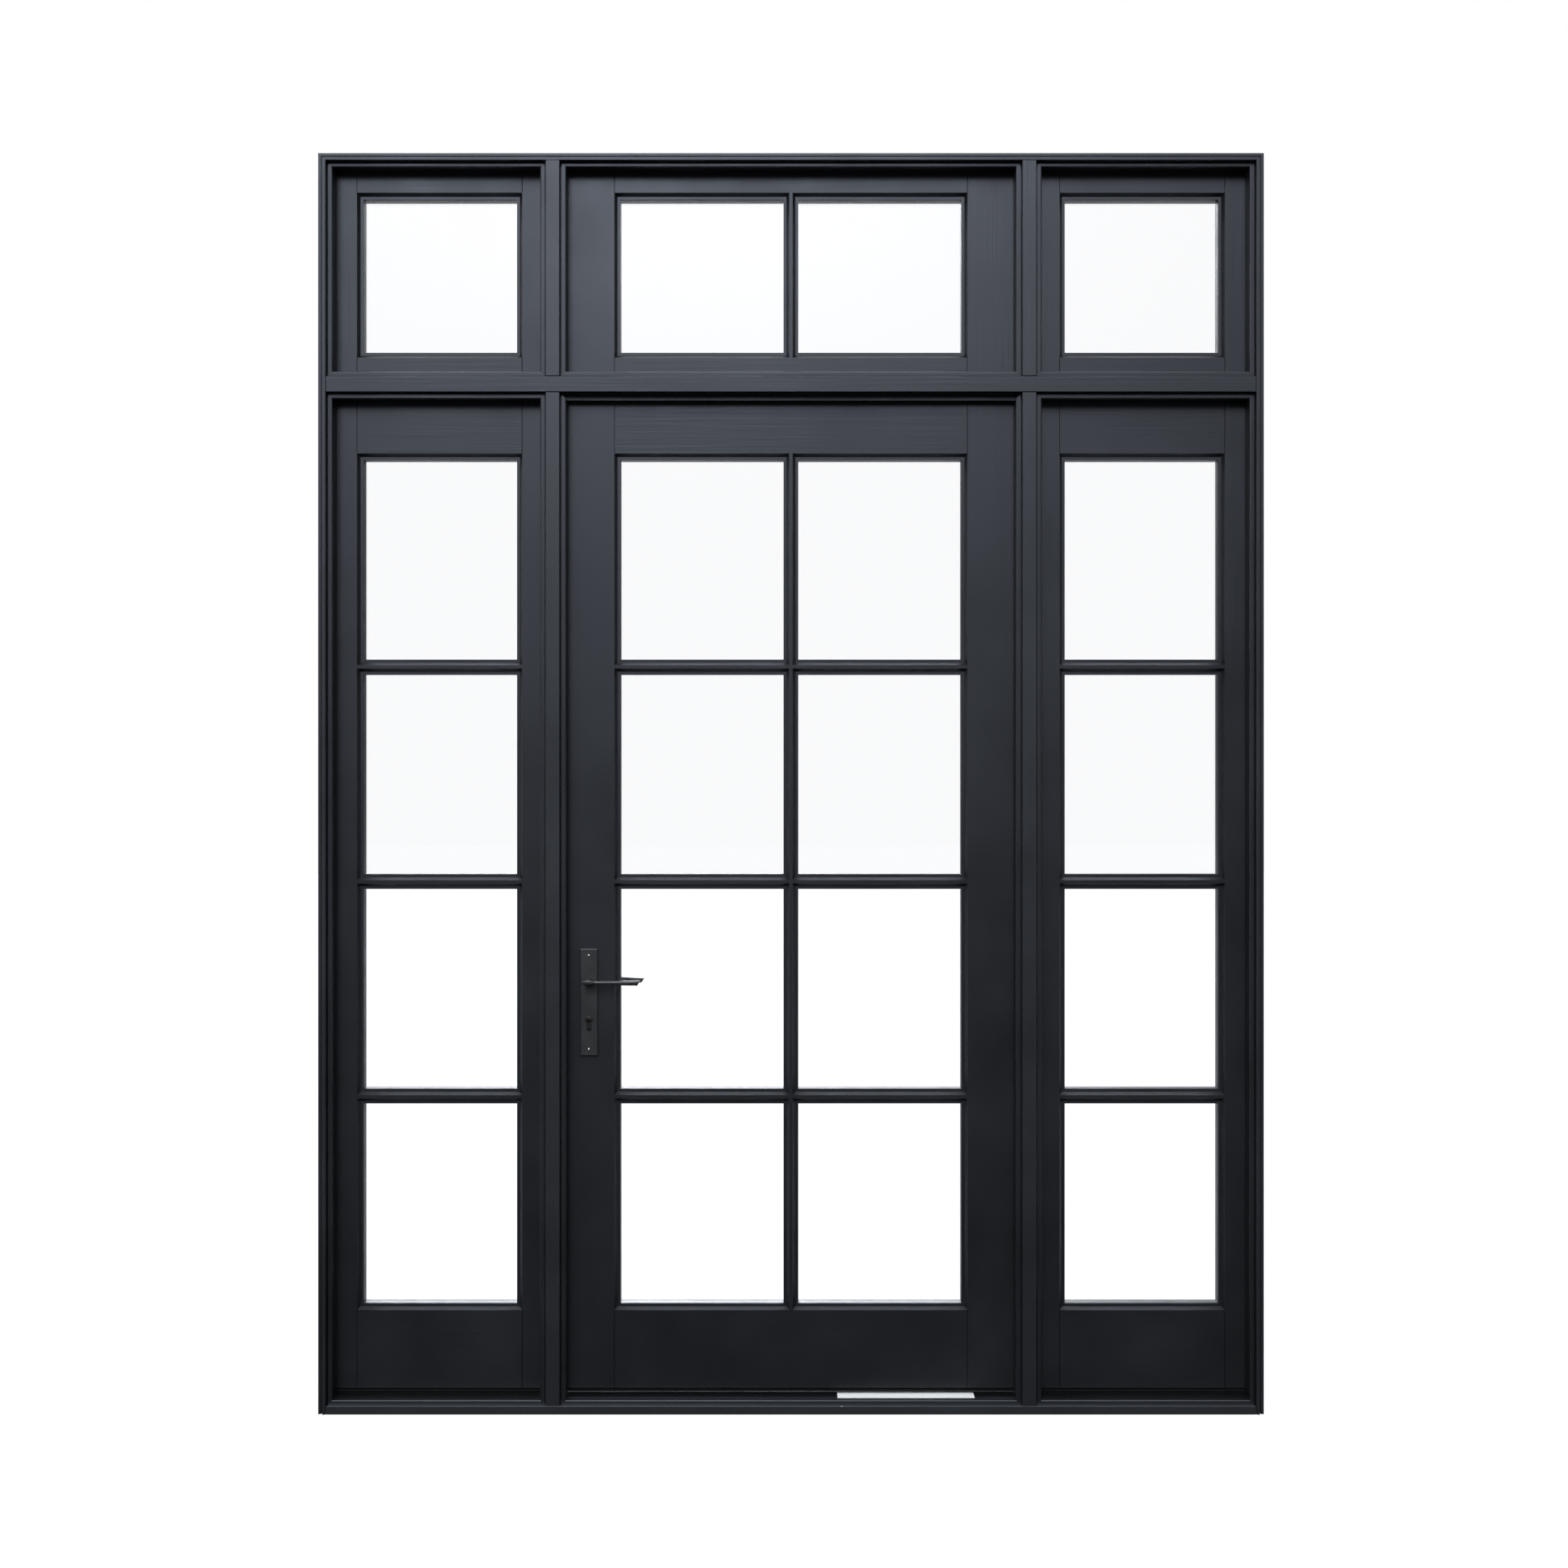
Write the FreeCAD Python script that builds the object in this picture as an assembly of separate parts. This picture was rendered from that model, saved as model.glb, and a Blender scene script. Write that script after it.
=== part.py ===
import FreeCAD, Part
import math
import os
from FreeCAD import Vector

# Timber entrance unit in millimetres: a single glazed door between two glazed
# sidelights, with three fixed transom lights above.
# X runs across, Y runs from the outside face (low) to the inside face (high),
# and Z runs up. The origin is on the ground, at the middle of the sill.

# Overall size of the frame
WIDTH = 2100.0
HEIGHT = 2800.0

# Depths of the layers, from the outside face to the inside face
STRIP_T = 15.0
CORE_SET_BACK = 8.0
STOP_DEPTH = 48.0
SASH_T = 57.0
TRIM_T = 12.0

# Frame members: what shows of each between the edge of the unit and a bay
JAMB_FACE = 30.0
HEAD_FACE = 29.0
MULLION_FACE = 58.0
MULLION_X = 529.0
TRANSOM_FACE = 61.5
TRANSOM_DROP = 513.8
SILL_H = 28.5
STOP_W = 10.0
STOP_ARRIS_R = 3.0
DOOR_HEAD_SET_BACK = 19.0

# Lap of the door leaf behind its stops, and its running clearances
LEAF_LAP = 9.0
LEAF_GAP = 5.5
LEAF_STOP_GAP = 5.0
LOCK_BEVEL = 3.0

# Outside casing and cover strips
CASING_W = 17.5
CASING_STRIP_W = 8.0
CASING_QUIRK_W = 3.0
CASING_QUIRK_D = 9.0
CASING_QUIRK_ARRIS_R = 1.0
CASING_SET_BACK = 4.5
STRIP_W = 31.5
TRANSOM_STRIP_W = 35.0
STRIP_ARRIS_R = 1.5
STRIP_END_GAP = 1.0
STRIP_FOOT_R = 2.5
UPPER_STRIP_GAP = 1.8
NOSING_H = 19.5
NOSING_DRIP = 3.0
NOSING_DRIP_D = 1.0
NOSING_END_R = 3.0

# Inside trims
TRIM_LAP = 8.0
MULLION_TRIM_W = 32.0
SILL_TRIM_H = 28.0
TRIM_ARRIS_R = 2.0

# Glazed faces: stile and rail widths that show, up to the glass
SIDE_STILE_FACE = 58.3
DOOR_STILE_FACE = 116.3
TOP_RAIL_FACE = 127.0
BOTTOM_RAIL_TOP = 230.5
UPPER_TOP_RAIL_FACE = 57.0
UPPER_BOTTOM_RAIL_FACE = 52.5

# Moulded edge round each pane, on both faces of a sash
ARRIS_W = 0.7
BEVEL_W = 5.9
BEVEL_D = 9.0
STEP_D = 1.5
FILLET_W = 6.7
GLASS_SET = 13.0
RIDGE_W = 6.7
SHOULDER_V = 1.2

# Glass: two sheets to each pane
GLASS_T = 5.0
GLASS_BITE = 8.0

# Panes in the height and width of each sash
DOOR_ROWS = 4
DOOR_COLUMNS = 2
SIDE_ROWS = 4

# Weather bars under the door and the sidelights
WEATHER_BAR_TOP = 43.0
WEATHER_LIP_TOP = 39.2
WEATHER_LIP_BOTTOM = 35.6
WEATHER_BAR_SET_BACK = 8.0

# Threshold plate on the sill, with one bare length
PLATE_T = 1.5
PLATE_Y_FROM_SASH = -29.0
PLATE_DEPTH = 42.0
BARE_X0 = 104.0
BARE_X1 = 410.0
PLATE_JOINT = 0.5

# Seal round the door, let into the back of the stops
SEAL_W = 5.0
SEAL_D = 4.0
SEAL_FROM_EDGE = 2.5
SEAL_END_GAP = 12.0

# Hinges
HINGE_H = 100.0
HINGE_R = 6.0
HINGE_PIN_R = 3.0
HINGE_BORE_R = 3.1
HINGE_LEAF_T = 2.5
HINGE_LEAF_D = 42.0
HINGE_LEAF_REACH = 4.0
HINGE_KNUCKLES = 5
HINGE_KNUCKLE_GAP = 0.5
HINGE_PIN_OUT = 6.5
HINGE_CAP_R = 5.0
HINGE_CAP_H = 3.0
HINGE_FROM_BOTTOM = 230.0
HINGE_FROM_TOP = 200.0

# Lock furniture
BACKSET_X = -453.0
SPINDLE_Z = 956.0
CYLINDER_DROP = 85.0
PLATE_W = 39.0
PLATE_END = 15.0
PLATE_THICK = 8.0
PLATE_ARRIS_R = 2.0
SCREW_PITCH = 210.0
SCREW_ABOVE_SPINDLE = 58.5
SCREW_R = 2.5
SCREW_HEAD_R = 3.6
SCREW_HEAD_T = 1.0
CYL_R = 8.5
CYL_W = 10.0
CYL_H = 33.0
CYL_PROUD = 2.0
KEY_SLOT_W = 2.0
KEY_SLOT_H = 8.0
KEY_SLOT_D = 6.0
SPINDLE_SQUARE = 8.0
SPINDLE_BORE_R = 6.0
NECK_COLLAR_R = 8.5
NECK_BORE_R = 8.8
NECK_TIP_R = 7.0
NECK_FACE_GAP = 0.3
LEVER_REACH = 34.0
LEVER_T = 11.0
LEVER_BACK_X = 13.0
LEVER_TIP_TOP_X = 119.0
LEVER_TIP_BOTTOM_X = 112.5
LEVER_HUB_UP = 5.0
LEVER_HUB_DOWN = 3.8
LEVER_TIP_UP = 5.6
LEVER_TIP_DOWN = 5.8
INSIDE_LEVER_DROOP = 3.5
LEVER_ARRIS_R = 1.5
LEVER_END_R = 3.0
LEVER_TIP_R = 2.0
NECK_SHOULDER = 1.0
SPINDLE_INSERT = 20.0
CUT_OUT_EASE = 0.15
FACEPLATE_W = 22.0
FACEPLATE_T = 3.0
FACEPLATE_UP = 45.0
FACEPLATE_DOWN = 100.0
STRIKE_W = 26.0
STRIKE_T = 2.0
STRIKE_UP = 36.0
STRIKE_DOWN = 60.0
LATCH_W = 14.0
LATCH_H = 22.0
BOLT_H = 36.0
STRIKE_HOLE_D = 16.0

# Places worked out from the sizes above
Y_STRIP = -(STRIP_T + STOP_DEPTH + SASH_T + TRIM_T) / 2.0
Y_FRAME = Y_STRIP + STRIP_T
Y_CORE = Y_FRAME + CORE_SET_BACK
Y_SASH = Y_FRAME + STOP_DEPTH
Y_BACK = Y_SASH + SASH_T
Y_TRIM = Y_BACK + TRIM_T
Y_DOOR_STOP = Y_SASH - LEAF_STOP_GAP

X_EDGE = WIDTH / 2.0
X_JAMB = X_EDGE - JAMB_FACE
X_MULL_OUT = MULLION_X + MULLION_FACE / 2.0
X_MULL_IN = MULLION_X - MULLION_FACE / 2.0
X_JAMB_CORE = X_JAMB + STOP_W
X_MULL_CORE_OUT = X_MULL_OUT - STOP_W
X_MULL_CORE_IN = X_MULL_IN + STOP_W
X_LEAF = X_MULL_IN + LEAF_LAP
X_DOOR_RABBET = X_LEAF + LEAF_GAP

Z_HEAD = HEIGHT - HEAD_FACE
Z_HEAD_CORE = Z_HEAD + STOP_W
TRANSOM_Z = HEIGHT - TRANSOM_DROP
Z_TRANSOM_TOP = TRANSOM_Z + TRANSOM_FACE / 2.0
Z_TRANSOM_BOTTOM = TRANSOM_Z - TRANSOM_FACE / 2.0
Z_TRANSOM_CORE_TOP = Z_TRANSOM_TOP - STOP_W
Z_TRANSOM_CORE_BOTTOM = Z_TRANSOM_BOTTOM + STOP_W
Z_LEAF_TOP = Z_TRANSOM_BOTTOM + LEAF_LAP
Z_DOOR_RABBET = Z_LEAF_TOP + LEAF_GAP
Z_SILL_CORE = SILL_H - STOP_W

STICK_W = ARRIS_W + BEVEL_W + FILLET_W
BAR_HALF = STICK_W + RIDGE_W / 2.0

# Bays of the frame, as the edges of their reveals: x0, x1, z0, z1
SIDE_BAY = (X_MULL_OUT, X_JAMB)
CENTRE_BAY = (-X_MULL_IN, X_MULL_IN)
LOWER_Z = (SILL_H, Z_TRANSOM_BOTTOM)
UPPER_Z = (Z_TRANSOM_TOP, Z_HEAD)


def mirrored(span):
    """The same span of X on the other side of the middle."""
    return (-span[1], -span[0])


BAY_SPANS = {"left": mirrored(SIDE_BAY), "centre": CENTRE_BAY, "right": SIDE_BAY}
UPPER_BAYS = {place: span + UPPER_Z for place, span in BAY_SPANS.items()}
LOWER_BAYS = {place: span + LOWER_Z for place, span in BAY_SPANS.items()}


def box(x0, x1, y0, y1, z0, z1):
    """A block between six planes."""
    return Part.makeBox(x1 - x0, y1 - y0, z1 - z0, Vector(x0, y0, z0))


def cylinder_y(x, z, radius, y0, y1):
    """A round bar along Y."""
    return Part.makeCylinder(radius, y1 - y0, Vector(x, y0, z), Vector(0, 1, 0))


def cylinder_z(x, y, radius, z0, z1):
    """A round bar along Z."""
    return Part.makeCylinder(radius, z1 - z0, Vector(x, y, z0), Vector(0, 0, 1))


def fused(shapes):
    """One solid from pieces that touch or overlap."""
    shape = shapes[0]
    if len(shapes) > 1:
        shape = shape.multiFuse(shapes[1:])
    return shape.removeSplitter()


def outline(points, place):
    """A closed wire through corners (u, v) or (u, v, radius), each set in space by place(u, v)."""
    flat = [(p[0], p[1], p[2] if len(p) > 2 else 0.0) for p in points]
    stops = []
    for i, (u, v, radius) in enumerate(flat):
        before = flat[i - 1]
        after = flat[(i + 1) % len(flat)]
        if radius <= 0.0:
            stops.append((None, (u, v), (u, v)))
            continue
        a = Vector(before[0] - u, before[1] - v, 0).normalize()
        b = Vector(after[0] - u, after[1] - v, 0).normalize()
        half = a.getAngle(b) / 2.0
        run = radius / math.tan(half)
        corner = Vector(u, v, 0)
        middle = (a + b).normalize()
        centre = corner + middle * (radius / math.sin(half))
        start = corner + a * run
        end = corner + b * run
        top = centre - middle * radius
        stops.append(((top.x, top.y), (start.x, start.y), (end.x, end.y)))
    edges = []
    for i, (top, start, end) in enumerate(stops):
        if top is not None:
            edges.append(Part.Arc(place(*start), place(*top), place(*end)).toShape())
        follow = stops[(i + 1) % len(stops)][1]
        if place(*end).distanceToPoint(place(*follow)) > 1e-6:
            edges.append(Part.LineSegment(place(*end), place(*follow)).toShape())
    return Part.Wire(edges)


def along_z(points, z0, z1, sign=1.0):
    """A section drawn in X and Y, run from z0 to z1; sign -1 mirrors it in X."""
    wire = outline(points, lambda u, v: Vector(sign * u, v, z0))
    return Part.Face(wire).extrude(Vector(0, 0, z1 - z0))


def along_x(points, x0, x1):
    """A section drawn in Y and Z, run from x0 to x1."""
    wire = outline(points, lambda u, v: Vector(x0, u, v))
    return Part.Face(wire).extrude(Vector(x1 - x0, 0, 0))


def along_y(points, y0, y1):
    """A front view drawn in X and Z, run from y0 to y1."""
    wire = outline(points, lambda u, v: Vector(u, y0, v))
    return Part.Face(wire).extrude(Vector(0, y1 - y0, 0))


def edge_run(rect, side, section, y_face):
    """A section run along one side of a rectangle, mitred at both ends.

    The section's u goes outwards from the side and its v goes inwards from y_face.
    """
    x0, x1, z0, z1 = rect
    wide = max(p[0] for p in section)
    deep = max(p[1] for p in section)
    if side in ("left", "right"):
        sign = -1.0 if side == "left" else 1.0
        base = x0 if side == "left" else x1
        wire = outline(section, lambda u, v: Vector(base + sign * u, y_face + v, z0 - wide))
        run = Part.Face(wire).extrude(Vector(0, 0, z1 - z0 + 2 * wide))
        corners = [(base, z0), (base, z1), (base + sign * wide, z1 + wide), (base + sign * wide, z0 - wide)]
    else:
        sign = -1.0 if side == "bottom" else 1.0
        base = z0 if side == "bottom" else z1
        wire = outline(section, lambda u, v: Vector(x0 - wide, y_face + v, base + sign * u))
        run = Part.Face(wire).extrude(Vector(x1 - x0 + 2 * wide, 0, 0))
        corners = [(x0, base), (x1, base), (x1 + wide, base + sign * wide), (x0 - wide, base + sign * wide)]
    mitre = along_y(corners, y_face - 1.0, y_face + deep + 1.0)
    return run.common(mitre)


def moulded_section():
    """Edge of a stile, rail or bar: eased arris, bevel, step and fillet on both
    faces, with two grooves for the sheets of glass."""
    half = [
        (STICK_W, 0.0),
        (STICK_W - ARRIS_W / 2.0, 0.0),
        (STICK_W - ARRIS_W, ARRIS_W),
        (FILLET_W, BEVEL_D),
        (FILLET_W, BEVEL_D + STEP_D),
        (0.0, BEVEL_D + STEP_D),
        (0.0, GLASS_SET),
        (GLASS_BITE, GLASS_SET),
        (GLASS_BITE, GLASS_SET + GLASS_T),
        (0.0, GLASS_SET + GLASS_T),
    ]
    back = [(u, SASH_T - v) for u, v in reversed(half)]
    return half + back


MOULDED = moulded_section()


def sash_lites(sight, columns, rows):
    """Sight rectangles of the panes, as rows of columns."""
    x0, x1, z0, z1 = sight
    wide = (x1 - x0 - (columns - 1) * 2 * BAR_HALF) / columns
    high = (z1 - z0 - (rows - 1) * 2 * BAR_HALF) / rows
    lites = []
    for row in range(rows):
        low = z0 + row * (high + 2 * BAR_HALF)
        line = []
        for column in range(columns):
            left = x0 + column * (wide + 2 * BAR_HALF)
            line.append((left, left + wide, low, low + high))
        lites.append(line)
    return lites


def stile(lites, column, side, core):
    """A stile: its full-height core and the moulded edges beside its panes."""
    runs = [edge_run(row[column], side, MOULDED, Y_SASH) for row in lites]
    return fused([core] + runs)


def shouldered(x0, x1, z0, z1):
    """A rail's core, with a fine V along its shoulders."""
    v = SHOULDER_V
    section = [
        (x0, Y_SASH + v), (x0 + v, Y_SASH), (x1 - v, Y_SASH), (x1, Y_SASH + v),
        (x1, Y_BACK - v), (x1 - v, Y_BACK), (x0 + v, Y_BACK), (x0, Y_BACK - v),
    ]
    return along_z(section, z0, z1)


def rail(line, side, z_edge):
    """A top or bottom rail between the stiles' shoulders."""
    x0 = line[0][0] - STICK_W
    x1 = line[-1][1] + STICK_W
    if side == "top":
        core = shouldered(x0, x1, line[0][3] + STICK_W, z_edge)
    else:
        core = shouldered(x0, x1, z_edge, line[0][2] - STICK_W)
    return fused([core] + [edge_run(lite, side, MOULDED, Y_SASH) for lite in line])


def upright_bar(lites):
    """The bar between two columns of panes, in one length."""
    left = lites[0][0]
    middle = left[1] + BAR_HALF
    core = box(middle - RIDGE_W / 2.0, middle + RIDGE_W / 2.0, Y_SASH, Y_BACK,
               left[2] - STICK_W, lites[-1][0][3] + STICK_W)
    runs = [edge_run(row[0], "right", MOULDED, Y_SASH) for row in lites]
    runs += [edge_run(row[1], "left", MOULDED, Y_SASH) for row in lites]
    return fused([core] + runs)


def cross_bar(below, above):
    """The bar between two panes of one column."""
    middle = below[3] + BAR_HALF
    core = box(below[0] - STICK_W, below[1] + STICK_W, Y_SASH, Y_BACK,
               middle - RIDGE_W / 2.0, middle + RIDGE_W / 2.0)
    return fused([core,
                  edge_run(below, "top", MOULDED, Y_SASH),
                  edge_run(above, "bottom", MOULDED, Y_SASH)])


def cross_bars(lites):
    """Every bar between the rows, column by column."""
    bars = []
    for lower, upper in zip(lites[:-1], lites[1:]):
        for below, above in zip(lower, upper):
            bars.append(cross_bar(below, above))
    return bars


def panes(lites):
    """Two sheets of glass to each lite, seated in the grooves."""
    sheets = []
    for line in lites:
        for x0, x1, z0, z1 in line:
            for y in (Y_SASH + GLASS_SET, Y_BACK - GLASS_SET - GLASS_T):
                sheets.append(box(x0 - GLASS_BITE, x1 + GLASS_BITE, y, y + GLASS_T,
                                  z0 - GLASS_BITE, z1 + GLASS_BITE))
    return sheets


def sash_pieces(outer, sight, columns, rows):
    """Stiles, rails, bars and glass of one fixed sash."""
    x0, x1, z0, z1 = outer
    lites = sash_lites(sight, columns, rows)
    left_core = box(x0, sight[0] - STICK_W, Y_SASH, Y_BACK, z0, z1)
    right_core = box(sight[1] + STICK_W, x1, Y_SASH, Y_BACK, z0, z1)
    return {
        "stiles": [stile(lites, 0, "left", left_core), stile(lites, columns - 1, "right", right_core)],
        "rails": [rail(lites[0], "bottom", z0), rail(lites[-1], "top", z1)],
        "uprights": [upright_bar(lites)] if columns > 1 else [],
        "bars": cross_bars(lites),
        "panes": panes(lites),
    }


def stop_section(depth):
    """The frame's stop: what shows of it round a bay, with a soft inner arris."""
    return [(0.0, 0.0, STOP_ARRIS_R), (STOP_W, 0.0), (STOP_W, depth), (0.0, depth)]


def stops(bay, side, depth=STOP_DEPTH):
    """The stop along one side of a bay."""
    return edge_run(bay, side, stop_section(depth), Y_FRAME)


DOOR_STOP_DEPTH = STOP_DEPTH - LEAF_STOP_GAP
DOOR_BAY = LOWER_BAYS["centre"]


def seal_groove(side):
    """The strip let into the back of the door's stop on one side."""
    x0, x1, z0, z1 = DOOR_BAY
    y0, y1 = Y_DOOR_STOP - SEAL_D, Y_DOOR_STOP
    if side == "top":
        reach = x1 - SEAL_END_GAP
        return box(-reach, reach, y0, y1, z1 + SEAL_FROM_EDGE, z1 + SEAL_FROM_EDGE + SEAL_W)
    low, high = z0 + SEAL_END_GAP, z1 - SEAL_END_GAP
    if side == "left":
        return box(x0 - SEAL_FROM_EDGE - SEAL_W, x0 - SEAL_FROM_EDGE, y0, y1, low, high)
    return box(x1 + SEAL_FROM_EDGE, x1 + SEAL_FROM_EDGE + SEAL_W, y0, y1, low, high)


# Hinge line of the door
HINGE_X = (X_LEAF + X_DOOR_RABBET) / 2.0
HINGE_Y = Y_BACK + HINGE_PIN_OUT
HINGE_LOW = WEATHER_BAR_TOP + HINGE_FROM_BOTTOM
HINGE_HIGH = Z_LEAF_TOP - HINGE_FROM_TOP
HINGE_MIDS = (HINGE_LOW, (HINGE_LOW + HINGE_HIGH) / 2.0, HINGE_HIGH)
KNUCKLE_H = (HINGE_H - (HINGE_KNUCKLES - 1) * HINGE_KNUCKLE_GAP) / HINGE_KNUCKLES


def knuckle_spans(middle, first):
    """Heights of every second knuckle of a hinge, from the first one named."""
    spans = []
    for i in range(first, HINGE_KNUCKLES, 2):
        low = middle - HINGE_H / 2.0 + i * (KNUCKLE_H + HINGE_KNUCKLE_GAP)
        spans.append((low, low + KNUCKLE_H))
    return spans


def hinge_leaf(middle, x_face, sign, first, bore):
    """A hinge leaf let in flush at x_face, with its knuckles; sign gives its depth's direction."""
    x0, x1 = sorted((x_face, x_face + sign * HINGE_LEAF_T))
    low, high = middle - HINGE_H / 2.0, middle + HINGE_H / 2.0
    pieces = [box(x0, x1, Y_BACK - HINGE_LEAF_D, Y_BACK, low, high)]
    for z0, z1 in knuckle_spans(middle, first):
        pieces.append(box(x0, x1, Y_BACK, Y_BACK + HINGE_LEAF_REACH, z0, z1))
        pieces.append(cylinder_z(HINGE_X, HINGE_Y, HINGE_R, z0, z1))
    leaf = fused(pieces)
    return leaf.cut(cylinder_z(HINGE_X, HINGE_Y, bore, low - 1.0, high + 1.0))


def hinge_let_in(middle, x_face, sign):
    """The shallow recess for a hinge leaf."""
    x0, x1 = sorted((x_face, x_face + sign * HINGE_LEAF_T))
    return box(x0, x1, Y_BACK - HINGE_LEAF_D, Y_BACK, middle - HINGE_H / 2.0, middle + HINGE_H / 2.0)


def make_frame():
    """Timber members of the frame, without their stops."""
    nodes = {}
    nodes["jambs"] = [box(*sorted((sign * X_JAMB_CORE, sign * X_EDGE)), Y_CORE, Y_BACK, 0.0, HEIGHT)
                      for sign in (-1, 1)]
    nodes["head"] = [box(-X_JAMB_CORE, X_JAMB_CORE, Y_CORE, Y_BACK, Z_HEAD_CORE, HEIGHT)]
    transom = box(-X_JAMB_CORE, X_JAMB_CORE, Y_CORE, Y_BACK, Z_TRANSOM_CORE_BOTTOM, Z_TRANSOM_CORE_TOP)
    nodes["transom_rail"] = [transom.cut(box(-X_DOOR_RABBET, X_DOOR_RABBET, Y_DOOR_STOP, Y_BACK,
                                             Z_TRANSOM_CORE_BOTTOM, Z_DOOR_RABBET))]

    sill = [box(-X_JAMB_CORE, X_JAMB_CORE, Y_FRAME, Y_BACK, 0.0, Z_SILL_CORE)]
    for x0, x1, y0 in ((-X_JAMB_CORE, -X_MULL_CORE_OUT, Y_SASH),
                       (-X_DOOR_RABBET, X_DOOR_RABBET, Y_DOOR_STOP),
                       (X_MULL_CORE_OUT, X_JAMB_CORE, Y_SASH)):
        sill.append(box(x0, x1, y0, Y_BACK, Z_SILL_CORE, SILL_H))
    nodes["sill"] = [fused(sill)]

    nodes["upper_mullions"] = []
    nodes["lower_mullions"] = []
    for sign in (-1, 1):
        x0, x1 = sorted((sign * X_MULL_CORE_IN, sign * X_MULL_CORE_OUT))
        nodes["upper_mullions"].append(box(x0, x1, Y_CORE, Y_BACK, Z_TRANSOM_CORE_TOP, Z_HEAD_CORE))
        post = box(x0, x1, Y_CORE, Y_BACK, Z_SILL_CORE, Z_TRANSOM_CORE_BOTTOM)
        x0, x1 = sorted((sign * X_MULL_CORE_IN, sign * X_DOOR_RABBET))
        post = post.cut(box(x0, x1, Y_DOOR_STOP, Y_BACK, Z_SILL_CORE, Z_TRANSOM_CORE_BOTTOM))
        if sign > 0:
            for middle in HINGE_MIDS:
                post = post.cut(hinge_let_in(middle, X_DOOR_RABBET, 1))
        else:
            post = post.cut(strike_let_in())
        nodes["lower_mullions"].append(post)
    return nodes


def make_stops():
    """Mitred stops planted round every bay, and the seals behind the door's stops."""
    fixed_bays = list(UPPER_BAYS.values()) + [LOWER_BAYS["left"], LOWER_BAYS["right"]]
    uprights = [stops(bay, side) for bay in fixed_bays for side in ("left", "right")]
    levels = [stops(bay, side) for bay in fixed_bays for side in ("bottom", "top")]
    for side in ("left", "right"):
        uprights.append(stops(DOOR_BAY, side, DOOR_STOP_DEPTH).cut(seal_groove(side)))
    head = stops(DOOR_BAY, "top", DOOR_STOP_DEPTH).cut(seal_groove("top"))
    levels.append(head.cut(box(-X_MULL_CORE_IN, X_MULL_CORE_IN, Y_FRAME, Y_FRAME + DOOR_HEAD_SET_BACK,
                               Z_TRANSOM_BOTTOM, Z_TRANSOM_CORE_BOTTOM)))
    levels.append(stops(DOOR_BAY, "bottom", DOOR_STOP_DEPTH))
    return {
        "upright_stops": uprights,
        "level_stops": levels,
        "door_seals": [seal_groove(side) for side in ("left", "right", "top")],
    }


def casing_section():
    """Perimeter casing: a proud strip, a fine quirk and a set-back outer fillet."""
    quirk_end = CASING_STRIP_W + CASING_QUIRK_W
    depth = STRIP_T + CORE_SET_BACK
    return [
        (0.0, 0.0, STRIP_ARRIS_R), (CASING_STRIP_W, 0.0, CASING_QUIRK_ARRIS_R),
        (CASING_STRIP_W, CASING_QUIRK_D), (quirk_end, CASING_QUIRK_D),
        (quirk_end, CASING_SET_BACK), (CASING_W, CASING_SET_BACK, STRIP_ARRIS_R),
        (CASING_W, depth), (0.0, depth),
    ]


def strip_section(middle):
    """A flat cover strip with soft outer arrises, drawn across its width and depth."""
    a, b = middle - STRIP_W / 2.0, middle + STRIP_W / 2.0
    return [(a, Y_CORE), (a, Y_STRIP, STRIP_ARRIS_R), (b, Y_STRIP, STRIP_ARRIS_R), (b, Y_CORE)]


def make_outside_strips():
    """Casing, nosing and cover strips on the outside face."""
    inner = (-X_EDGE + CASING_W, X_EDGE - CASING_W, 0.0, HEIGHT - CASING_W)
    tall = (inner[0], inner[1], inner[2] - 2 * CASING_W, inner[3])
    ground = box(-X_EDGE, X_EDGE, Y_STRIP, Y_CORE, -4 * CASING_W, 0.0)
    nodes = {
        "head_casing": [edge_run(inner, "top", casing_section(), Y_STRIP)],
        "side_casings": [edge_run(tall, side, casing_section(), Y_STRIP).cut(ground)
                         for side in ("left", "right")],
    }
    reach = inner[1] - STRIP_END_GAP
    low, high = TRANSOM_Z - TRANSOM_STRIP_W / 2.0, TRANSOM_Z + TRANSOM_STRIP_W / 2.0
    nodes["transom_cover_strip"] = [along_x(
        [(Y_CORE, low), (Y_STRIP, low, STRIP_ARRIS_R), (Y_STRIP, high, STRIP_ARRIS_R), (Y_CORE, high)],
        -reach, reach)]
    nosing = along_x(
        [(Y_FRAME, 0.0), (Y_STRIP + NOSING_DRIP_D, 0.0), (Y_STRIP + NOSING_DRIP_D, NOSING_DRIP),
         (Y_STRIP, NOSING_DRIP + NOSING_DRIP_D), (Y_STRIP, NOSING_H, STRIP_ARRIS_R), (Y_FRAME, NOSING_H)],
        -reach, reach)
    nodes["sill_nosing"] = [nosing.common(along_y(
        [(-reach, 0.0), (reach, 0.0), (reach, NOSING_H, NOSING_END_R), (-reach, NOSING_H, NOSING_END_R)],
        Y_STRIP, Y_FRAME))]
    covers = []
    for sign in (-1, 1):
        middle = sign * MULLION_X
        section = strip_section(middle)
        covers.append(along_z(section, high + UPPER_STRIP_GAP, inner[3]))
        x0, x1, top = middle - STRIP_W / 2.0, middle + STRIP_W / 2.0, low - STRIP_END_GAP
        covers.append(along_z(section, NOSING_H, top).common(along_y(
            [(x0, NOSING_H, STRIP_FOOT_R), (x1, NOSING_H, STRIP_FOOT_R), (x1, top), (x0, top)],
            Y_STRIP, Y_CORE)))
    nodes["mullion_cover_strips"] = covers
    return nodes


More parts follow.
